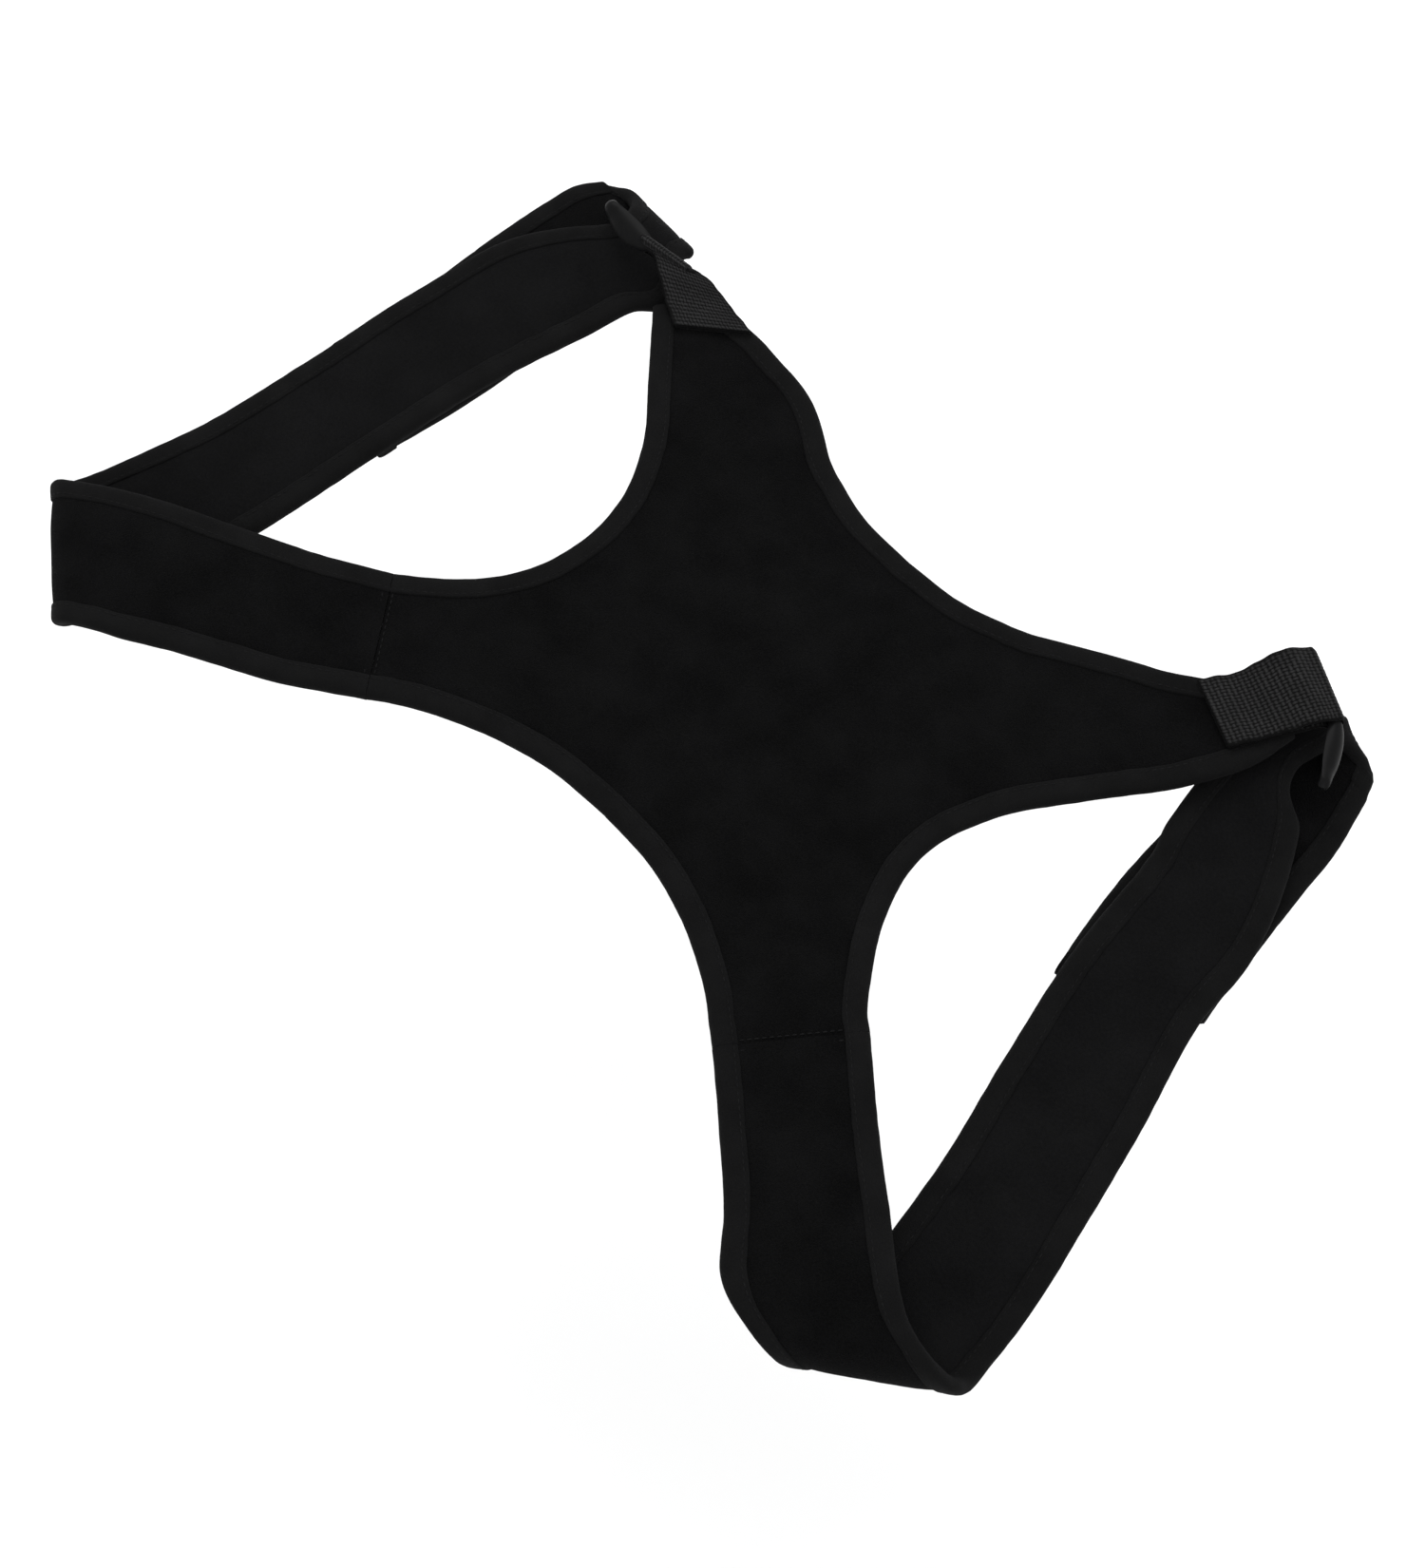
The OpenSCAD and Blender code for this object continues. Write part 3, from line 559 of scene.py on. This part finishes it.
# ---- Panel padding -----------------------------------------------------------------------------
def swell_by_cloth(obj, held, cap):
    """Runs a short pressure simulation and returns the moved points, capped softly."""
    before = np.array([v.co for v in obj.data.vertices])
    group = obj.vertex_groups.new(name="held")
    group.add(held, 1.0, "REPLACE")
    cloth = obj.modifiers.new("swell", "CLOTH")
    cloth.settings.quality = 6
    cloth.settings.vertex_group_mass = "held"
    cloth.settings.use_pressure = True
    cloth.settings.uniform_pressure_force = 4
    cloth.settings.effector_weights.gravity = 0
    cloth.settings.tension_stiffness = 25
    cloth.settings.compression_stiffness = 25
    cloth.settings.bending_stiffness = 4
    cloth.point_cache.frame_start = 1
    cloth.point_cache.frame_end = 20
    scene = bpy.context.scene
    for number in range(1, 21):
        scene.frame_set(number)
    graph = bpy.context.evaluated_depsgraph_get()
    result = obj.evaluated_get(graph).to_mesh()
    after = np.array([v.co for v in result.vertices])
    obj.modifiers.remove(cloth)
    obj.vertex_groups.remove(group)
    scene.frame_set(1)
    move = after - before
    size = np.linalg.norm(move, axis=1, keepdims=True)
    return before + move / np.maximum(size, 1e-9) * cap * np.tanh(size / cap)


def panel_pads():
    """Both halves of the padded panel, swelled as one piece and then parted at the spine line."""
    halves = {name: panel_half(side) for name, side in SIDES.items()}
    plan, faces, owner, rims = [], [], [], []
    index = {}
    for name, (verts, tris, rim) in halves.items():
        sign = SIDES[name]["sign"]
        ids = []
        for x, y in verts:
            key = (round(sign * x, 3) + 0.0, round(y, 3))
            if key not in index:
                index[key] = len(plan)
                plan.append([sign * x, y])
            ids.append(index[key])
        for f in tris:
            f = [ids[k] for k in f]
            faces.append(f if sign > 0 else f[::-1])
            owner.append(name)
        rims.append(np.column_stack([sign * rim[:, 0], rim[:, 1]]))
    plan = np.array(plan)
    rim = np.vstack(rims)
    gap = np.array([np.min(np.hypot(rim[:, 0] - x, rim[:, 1] - y)) for x, y in plan])
    count = len(plan)
    rise = 1 - np.exp(-gap / RIM_EASE)
    level = PANEL_Z + sag(plan[:, 0], plan[:, 1])
    broad = ripple(np.sqrt(plan[:, 0] ** 2 + 100), plan[:, 1], 55, 21)
    small = ripple(np.sqrt(plan[:, 0] ** 2 + 25), plan[:, 1], 16, 22)
    upper = level + PINCH + rise * (CROWN * 0.55 + 0.25 * broad + 0.06 * small)
    lower = level - PINCH - rise * (CROWN * 0.45 + 0.15 * broad)
    verts = np.vstack([np.column_stack([plan, upper]), np.column_stack([plan, lower])])
    edges = {}
    for f in faces:
        for a, b in ((f[0], f[1]), (f[1], f[2]), (f[2], f[0])):
            edges[(a, b)] = True
    walls = [(b, a, a + count, b + count) for a, b in edges if (b, a) not in edges]
    solid = [tuple(f) for f in faces] + [tuple(k + count for k in reversed(f)) for f in faces] + walls
    whole = mesh_piece("panel_swell", verts, solid, 1)
    points = np.array([v.co for v in whole.data.vertices])
    held = [i for i in range(count) if gap[i] < 0.5]
    points = swell_by_cloth(whole, held + [i + count for i in held], SWELL_CAP * MM)
    bpy.data.objects.remove(whole)
    points = points / MM - SPINE
    for name, side in SIDES.items():
        mine = [f for f, who in zip(faces, owner) if who == name]
        local = {}
        for f in mine:
            for k in f:
                local.setdefault(k, len(local))
        used = list(local)
        half = len(used)
        shape = np.vstack([points[used], points[[k + count for k in used]]])
        mesh_faces = [tuple(local[k] for k in f) for f in mine]
        under = [tuple(local[k] + half for k in reversed(f)) for f in mine]
        own = {(f[i], f[(i + 1) % 3]) for f in mesh_faces for i in range(3)}
        sides = [(b, a, a + half, b + half) for a, b in own if (b, a) not in own]
        index_of = [0] * len(mesh_faces) + [1] * len(under) + [0] * len(sides)
        piece = mesh_piece(f"{name}_panel_pad", shape, mesh_faces + under + sides, 1, index_of, 50)
        nodes = [f"{name}_wing_{k}" for k in ("cover", "core", "lining")]
        nodes += [f"panel_{k}" for k in ("cover", "core", "lining")]
        finish_piece(piece, ["pile", "lining"], nodes, bend=wing_bend(name, side))


# ---- Long straps -------------------------------------------------------------------------------
def strap_stations(side):
    turn = side["turn"]
    a = math.radians(turn["angle"])
    r = (turn["top"] - turn["bottom"]) / 2
    stations = list(side["arm"])
    for t in range(0, 181, 45):
        along = turn["shift"][t >= 90] * (t / 90 - 1)
        out = r * math.sin(math.radians(t))
        stations.append([
            turn["axis"][0] + along * math.cos(a) + out * math.sin(a),
            turn["axis"][1] + along * math.sin(a) - out * math.cos(a),
            turn["bottom"] + r * (1 + math.cos(math.radians(t))), turn["angle"], turn["half"]])
    stations += side["run"]
    curl = side["curl"]
    for t, inner, outer in zip(range(0, 181, 45), curl["inner"], curl["outer"]):
        (x, y), across = np.mean([inner, outer], axis=0), np.subtract(outer, inner)
        stations.append([x, y, TAIL_Z + CURL_R * (1 + math.cos(math.radians(t))),
                         math.degrees(math.atan2(across[1], across[0])), np.hypot(*across) / 2])
    return stations


def tail_stations(side):
    """From the end of the curl over the ring to the end of the strap, flat on the table."""
    return [strap_stations(side)[-1]] + [[x, y, TAIL_Z, angle, half] for x, y, angle, half in side["tail"]]


def frames(rows):
    """Middle, ruling direction, normal and half width of strap rows."""
    mid = rows[:, :3]
    along = plan_dir(rows[:, 3])
    normal = unit(np.cross(np.gradient(mid, axis=0), along))
    return mid, along, normal, rows[:, 4]


def pad_section(s, half, seed):
    """Padding of a strap: crowned between its bindings on both faces."""
    across = np.linspace(-1, 1, PAD_ACROSS)
    u = across[None] * (half[:, None] - TAPE_W + TAPE_TUCK)
    rise = 1 - np.abs(across[None]) ** 5
    upper = PINCH + rise * (CROWN + 0.22 * ripple(u, s[:, None], 34, seed)
                            + 0.06 * ripple(u, s[:, None], 11, seed + 1))
    lower = -PINCH - rise * (CROWN * 0.7 + 0.16 * ripple(u, s[:, None], 40, seed + 2))
    top = np.stack([u, upper], axis=-1)
    bottom = np.stack([u, lower], axis=-1)[:, ::-1]
    return np.concatenate([top, bottom], axis=1)


def strap_pad(name, sign, rows, seed):
    mid, along, normal, half = frames(rows)
    section = pad_section(run_length(mid), half, seed)
    verts, faces, place = tube(swept(mid, along, normal, section))
    lining = [int(PAD_ACROSS <= k < 2 * PAD_ACROSS - 1) for k in place]
    return mesh_piece(name, verts, faces, sign, lining, angle=60)


def strap_edges(rows):
    """For each edge of a strap: its name, line, inward direction and normal."""
    mid, along, normal, half = frames(rows)
    return [("inner", mid - along * half[:, None], along, normal),
            ("outer", mid + along * half[:, None], -along, normal)]


def long_strap(name, side):
    sign = side["sign"]
    rows = even(spline(strap_stations(side), 24, 3), ROW_STEP)
    pad = strap_pad(f"{name}_strap_pad", sign, rows, 31 + sign)
    nodes = [f"{name}_strap_{k}" for k in ("cover", "core", "lining")]
    finish_piece(pad, ["pile", "lining"], nodes, f"{name}_wing")
    gather = Gather()
    for k, (kind, edge, inward, up) in enumerate(strap_edges(rows)):
        piece = tape_piece(f"{name}_strap_{kind}_tape", sign, edge, inward, up, 41 + k)
        finish_piece(piece, ["tape"], [f"{name}_strap_{kind}_binding"],
                     f"{name}_wing")
        tape_stitches(gather, edge, inward, up)
    piece = mesh_piece(f"{name}_strap_thread", gather.verts, gather.faces, sign)
    finish_piece(piece, ["thread"], [], f"{name}_wing")


def split_rows(rows, at):
    """Rows up to and from a distance along the strap."""
    s = run_length(rows)
    i = int(np.argmin(np.abs(s - at)))
    return rows[:i + 1], rows[i:]


def turned_end(name, side):
    """The strap's end under its run: the part that slides and the tab that peels, both built as they lie at
    rest; their bends are not applied here.
    """
    sign = side["sign"]
    rows = even(spline(tail_stations(side), 24, 3), ROW_STEP)
    s = run_length(rows)
    hinge = np.array(side["hinge"][:2])
    at_hinge = s[int(np.argmin(np.hypot(*(rows[:, :2] - hinge).T)))]
    tail, tab = split_rows(rows, at_hinge - TAB_LEAD)
    slide = tuple(in_frame(tail[[0, len(tail) * 3 // 4], :3], sign).tolist())
    a = math.radians(side["hinge"][2])
    down = np.array([math.sin(a), -math.cos(a), 0])
    pivot = np.array([hinge[0], hinge[1], TAIL_Z])
    reach = TAB_REACH * down
    peel = tuple(in_frame(np.array([pivot - reach, pivot + reach]), sign).tolist())
    jobs = [("tail", tail, (f"{name}_wing", f"{name}_tail") + slide),
            ("tab", tab, (f"{name}_tail", f"{name}_tab") + peel)]
    for kind, part, bend in jobs:
        pad = strap_pad(f"{name}_{kind}_pad", sign, part, 51)
        nodes = [f"{name}_{kind}_{k}" for k in ("cover", "core", "lining")]
        finish_piece(pad, ["pile", "lining"], nodes, bend=bend)
        gather = Gather()
        for k, (edge_name, edge, inward, up) in enumerate(strap_edges(part)):
            piece = tape_piece(f"{name}_{kind}_{edge_name}_tape", sign, edge, inward, up, 61 + k)
            finish_piece(piece, ["tape"], [f"{name}_{kind}_binding"], bend=bend)
            tape_stitches(gather, edge, inward, up)
        if kind == "tab":
            end_tape(name, sign, part, bend, gather)
        piece = mesh_piece(f"{name}_{kind}_thread", gather.verts, gather.faces, sign)
        finish_piece(piece, ["thread"], [], bend=bend)
    hook_patch(name, side, tab)


def end_tape(name, sign, rows, bend, gather):
    """Tape across the end of the strap."""
    mid, along, normal, half = frames(rows)
    inward = unit(mid[-2] - mid[-1])
    places = np.linspace(-half[-1], half[-1], 28)
    edge = mid[-1] + np.outer(places, along[-1]) - inward * 0.4
    n = len(edge)
    piece = tape_piece(f"{name}_tab_end_tape", sign, edge, np.tile(inward, (n, 1)),
                       np.tile(normal[-1], (n, 1)), 71)
    finish_piece(piece, ["tape"], [f"{name}_tab_binding"], bend=bend)
    tape_stitches(gather, edge, np.tile(inward, (n, 1)), np.tile(normal[-1], (n, 1)))


def hook_patch(name, side, rows):
    """Hook tape on the upper face of the tab: a thin base with rows of hooks."""
    low, high = box_mm(f"{name}_hook_patch")
    mid, along, normal, _ = frames(rows)
    centre = ((low + high) / 2 - SPINE) * [side["sign"], 1, 1]
    i = int(np.argmin(np.hypot(mid[:, 0] - centre[0], mid[:, 1] - centre[1])))
    u, v = along[i], unit(np.gradient(mid, axis=0)[i])
    v = unit(v - u * np.dot(u, v))
    half_w = 15.0
    half_l = min(17.0, (high[1] - low[1]) / 2 - 2)
    base = TAIL_Z + PINCH + 0.5
    origin = np.array([centre[0], centre[1], base])
    gather = Gather()
    corners = []
    for h, shrink in ((0, 0), (0.6, 0), (0.75, 0.3)):
        for a, b in ((-1, -1), (1, -1), (1, 1), (-1, 1)):
            corners.append(origin + u * a * (half_w - shrink) + v * b * (half_l - shrink)
                           + np.array([0, 0, h]))
    faces = [(3, 2, 1, 0), (8, 9, 10, 11)]
    for ring in (0, 4):
        for k in range(4):
            n = (k + 1) % 4
            faces.append((ring + k, ring + n, ring + 4 + n, ring + 4 + k))
    gather.add(corners, faces)
    pitch = 1.7
    for a in np.arange(-half_w + 1, half_w - 0.5, pitch):
        for b in np.arange(-half_l + 1, half_l - 0.5, pitch):
            foot = origin + u * a + v * b + np.array([0, 0, 0.7])
            hook = [foot + d for d in (u * 0.25, v * 0.25, -u * 0.25, -v * 0.25)]
            crook = foot + np.array([0, 0, 0.62]) + v * 0.35
            hook += [crook + d * 0.6 for d in (u * 0.25, v * 0.25, -u * 0.25, -v * 0.25)]
            sides = [(k, (k + 1) % 4, (k + 1) % 4 + 4, k + 4) for k in range(4)]
            gather.add(hook, sides + [(3, 2, 1, 0), (4, 5, 6, 7)])
    piece = mesh_piece(f"{name}_hook_tape", gather.verts, gather.faces, side["sign"], angle=35)
    finish_piece(piece, ["hook"], [f"{name}_hook_patch"], f"{name}_tab")


def seam_thread(name, side):
    """Thread across the seam of a long strap."""
    x, y, z, angle, half = side["arm"][0]
    u = plan_dir(np.array(float(angle)))
    back = np.array([-u[1], u[0], 0])
    span = half - TAPE_W
    gather = Gather()
    for row in (-2.4, 1.6):
        line = np.array([[x, y, z] + u * t + back * row for t in np.linspace(-span, span, 20)])
        line[:, 2] += PINCH + 0.35
        stitch_row(gather, line, np.tile([0.0, 0, 1], (20, 1)), 1.9, 0.3, 2.7)
    piece = mesh_piece(f"{name}_seam_thread", gather.verts, gather.faces, side["sign"])
    finish_piece(piece, ["thread"], [f"{name}_seam_stitches"], f"{name}_wing")


# ---- Webbing -----------------------------------------------------------------------------------
def web_edge(side, kind):
    """One edge of the webbing: from its sewn end over the ring's upper bar and back underneath."""
    edge = np.array(side["web"][kind], float)
    fold = np.array(side["web"]["outer"][-1][:2]) - np.array(side["web"]["inner"][-1][:2])
    out = unit(np.array([-fold[1], fold[0]]))
    r = BAR_R + 0.1 + WEB_T / 2
    bar = edge[-1, :2] - out * (r + WEB_T / 2)
    z_arm = PANEL_Z + TAPE_H + 0.2
    legs = []
    for level, height, part in ((1.5, r, 1), (0.5, -r, 0.75)):
        z = z_arm + level * (WEB_T + LAYER_GAP)
        t = np.linspace(0, 1, len(edge))
        plan = edge[:, :2].copy()
        plan[-1] = bar
        level_z = z + (RING_Z + height - z) * t ** 3 + edge[:, 2] * part
        legs.append(np.column_stack([plan, level_z]))
    turn = [[*(bar + out * r * math.cos(math.radians(a))), RING_Z + r * math.sin(math.radians(a))]
            for a in (60, 0, -60)]
    return spline(np.vstack([legs[0], turn, legs[1][::-1]]), 40, 3)


def web_frames(side):
    """Rows across the webbing at an even spacing: middle, direction, normal and half width."""
    inner, outer = web_edge(side, "inner"), web_edge(side, "outer")
    both = even(np.column_stack([(inner + outer) / 2, inner, outer]), WEB_STEP)
    inner, outer = both[:, 3:6], both[:, 6:9]
    along = unit(outer - inner)
    normal = unit(np.cross(np.gradient(both[:, :3], axis=0), along))
    return both[:, :3], along, normal, np.linalg.norm(outer - inner, axis=1) / 2


def weave_height(u, v):
    """Height of a plain weave of thick cords: u across the cords, v along them."""
    over = 0.5 + 0.5 * np.sin(math.pi * (v / PICK_PITCH + np.floor(u / CORD_PITCH)))
    warp = np.abs(np.sin(math.pi * u / CORD_PITCH)) ** 0.6 * (0.35 + 0.65 * over)
    weft = np.abs(np.sin(math.pi * v / PICK_PITCH)) ** 0.6 * (0.35 + 0.65 * (1 - over))
    return np.maximum(warp, weft)


def webbing(name, side):
    """The elastic loop: woven cords in relief on both faces, and the thread that sews it to the arm."""
    mid, along, normal, half = web_frames(side)
    s = run_length(mid)
    points_across, sink = 112, 0.15
    across = np.linspace(-1, 1, points_across)
    u = across[None] * half[:, None]
    edge = 1 - np.abs(across[None]) ** 24
    h = WEAVE_DEPTH * weave_height(u + 500, s[:, None]) * edge
    upper = np.stack([u, WEB_T / 2 * edge - sink + h], axis=-1)
    lower = np.stack([u, -WEB_T / 2 * edge + sink - h], axis=-1)[:, ::-1]
    section = np.concatenate([upper, lower], axis=1)
    section[..., 0] += 0.25 * ripple(s, 0, 9, 82)[:, None]
    verts, faces, _ = tube(swept(mid, along, normal, section))
    piece = mesh_piece(f"{name}_elastic", verts, faces, side["sign"], angle=70)
    # Cord heights for the elastic material's painted shade in the hollows and painted highlight on the tops.
    shade = np.concatenate([h, h[:, ::-1]], axis=1).reshape(-1) / WEAVE_DEPTH
    layer = piece.data.attributes.new("cord", "FLOAT", "POINT")
    layer.data.foreach_set("value", shade.astype(np.float32))
    finish_piece(piece, ["elastic"], [f"{name}_webbing"], f"{name}_wing")
    gather = Gather()
    for row in (2.0, 11.5):
        i = int(row / WEB_STEP)
        ends = [mid[i] + along[i] * half[i] * k * 0.9 + normal[i] * 0.62 for k in (-1, 1)]
        line = np.linspace(*ends, 20)
        stitch_row(gather, line, np.tile(normal[i], (20, 1)), 1.5, 0.22, 2.2)
    piece = mesh_piece(f"{name}_webbing_thread", gather.verts, gather.faces, side["sign"])
    finish_piece(piece, ["thread"], [f"{name}_webbing_stitches"], f"{name}_wing")


# ---- Rings -------------------------------------------------------------------------------------
def ring(name, side):
    """Moulded ring: a bowed upper bar that swells to a ridged leaf where it is bare, and a lower bar."""
    top = spline(side["bar"], 12, 2)
    top = np.column_stack([top, np.full(len(top), RING_Z)])
    low_z = RING_Z - RING_H * math.cos(math.radians(side["lean"]))
    ends = [np.array([x, y, low_z]) for x, y in side["low_bar"]]
    path = [*top]
    for here, there in ((top[-1], ends[0]), (ends[0], ends[1]), (ends[1], top[0])):
        ahead = unit(there - here)
        path += [here + ahead * RING_CORNER * k for k in (0.35, 1)]
        path += [there - ahead * RING_CORNER * k for k in (1, 0.35)]
    path = spline(path[:len(top)][::6] + path[len(top):] + [top[0]], 10, 3)
    path = even(path, 1.0)[:-1]
    count = len(path)
    s = run_length(path) / run_length(top)[-1]
    ahead = unit(np.roll(path, -1, axis=0) - np.roll(path, 1, axis=0))
    centre = path.mean(axis=0)
    outward = path - centre
    outward = unit(outward - ahead * np.sum(outward * ahead, axis=1, keepdims=True))
    for _ in range(6):
        outward = unit(outward + np.roll(outward, 1, axis=0) + np.roll(outward, -1, axis=0))
    face = unit(np.cross(ahead, outward))
    outward = np.cross(face, ahead)
    t = np.clip((s - side["bare_from"]) / (1.02 - side["bare_from"]), 0, 1)
    swell = np.sin(math.pi * t ** 0.85) ** 0.65
    side_bar = np.clip((s - 1.0) * 12, 0, 1) * np.clip((s.max() - s) * 12, 0, 1)
    points_round = 24
    rows = []
    for place, out, flat, k, thin in zip(path, outward, face, swell, 1 - 0.25 * side_bar):
        loop = []
        for j in range(points_round):
            a = 2 * math.pi * j / points_round
            c, q = math.cos(a), math.sin(a)
            c = math.copysign(abs(c) ** (1 + 0.9 * k), c) if abs(c) > 1e-9 else 0
            loop.append(place + (out * (1 - 0.15 * k) * c + flat * (1 + side["leaf"] * k) * q) * BAR_R * thin)
        rows.append(loop)
    points = np.array(rows)
    faces = []
    for i in range(count):
        n = (i + 1) % count
        for j in range(points_round):
            m = (j + 1) % points_round
            here, there = i * points_round, n * points_round
            faces.append((here + j, here + m, there + m, there + j))
    piece = mesh_piece(f"{name}_moulded_ring", points.reshape(-1, 3), faces, side["sign"], angle=40)
    finish_piece(piece, ["plastic"], [f"{name}_ring"], f"{name}_ring")


# ---- Stage -------------------------------------------------------------------------------------
def stage():
    """Pale floor, soft studio light and the camera."""
    bpy.ops.mesh.primitive_plane_add(size=14, location=(0, 0, -0.34))
    floor = bpy.context.object
    floor.name = "floor"
    mat = bpy.data.materials.new("floor_white")
    mat.use_nodes = True
    bsdf = mat.node_tree.nodes["Principled BSDF"]
    bsdf.inputs["Base Color"].default_value = (0.95, 0.95, 0.95, 1)
    bsdf.inputs["Roughness"].default_value = 1
    bsdf.inputs["Specular IOR Level"].default_value = 0
    floor.data.materials.append(mat)
    world = bpy.data.worlds.new("studio")
    bpy.context.scene.world = world
    world.use_nodes = True
    back = world.node_tree.nodes["Background"]
    back.inputs["Color"].default_value = (1, 1, 1, 1)
    back.inputs["Strength"].default_value = 0.95
    for place, size, power in (((-1.2, 1.0, 2.0), 1.6, 26), ((1.6, -0.8, 1.7), 1.4, 12)):
        lamp = bpy.data.lights.new("softbox", "AREA")
        lamp.size = size
        lamp.energy = power
        obj = bpy.data.objects.new("softbox", lamp)
        bpy.context.scene.collection.objects.link(obj)
        obj.location = place
        obj.rotation_euler = (-Vector(place)).to_track_quat("-Z", "Y").to_euler()
    azimuth, elevation, distance = math.radians(46.82), math.radians(61.25), 1.2
    target = Vector(in_frame(np.array([11.58, 0, PANEL_Z - 20]), 1))
    direction = Vector((math.sin(azimuth) * math.cos(elevation),
                        -math.cos(azimuth) * math.cos(elevation), math.sin(elevation)))
    camera = bpy.data.objects.new("camera", bpy.data.cameras.new("camera"))
    bpy.context.scene.collection.objects.link(camera)
    camera.location = target + direction * distance
    camera.rotation_euler = (-direction).to_track_quat("-Z", "Y").to_euler()
    camera.data.sensor_fit = "VERTICAL"
    camera.data.sensor_height = 36
    camera.data.lens = 71.54
    camera.data.clip_end = 30
    bpy.context.scene.camera = camera
    bpy.context.scene.view_settings.view_transform = "Standard"


# ---- Build -------------------------------------------------------------------------------------
panel_pads()
for side_name, side_data in SIDES.items():
    panel_bindings(side_name, side_data)
    long_strap(side_name, side_data)
    turned_end(side_name, side_data)
    seam_thread(side_name, side_data)
    webbing(side_name, side_data)
    ring(side_name, side_data)
stage()
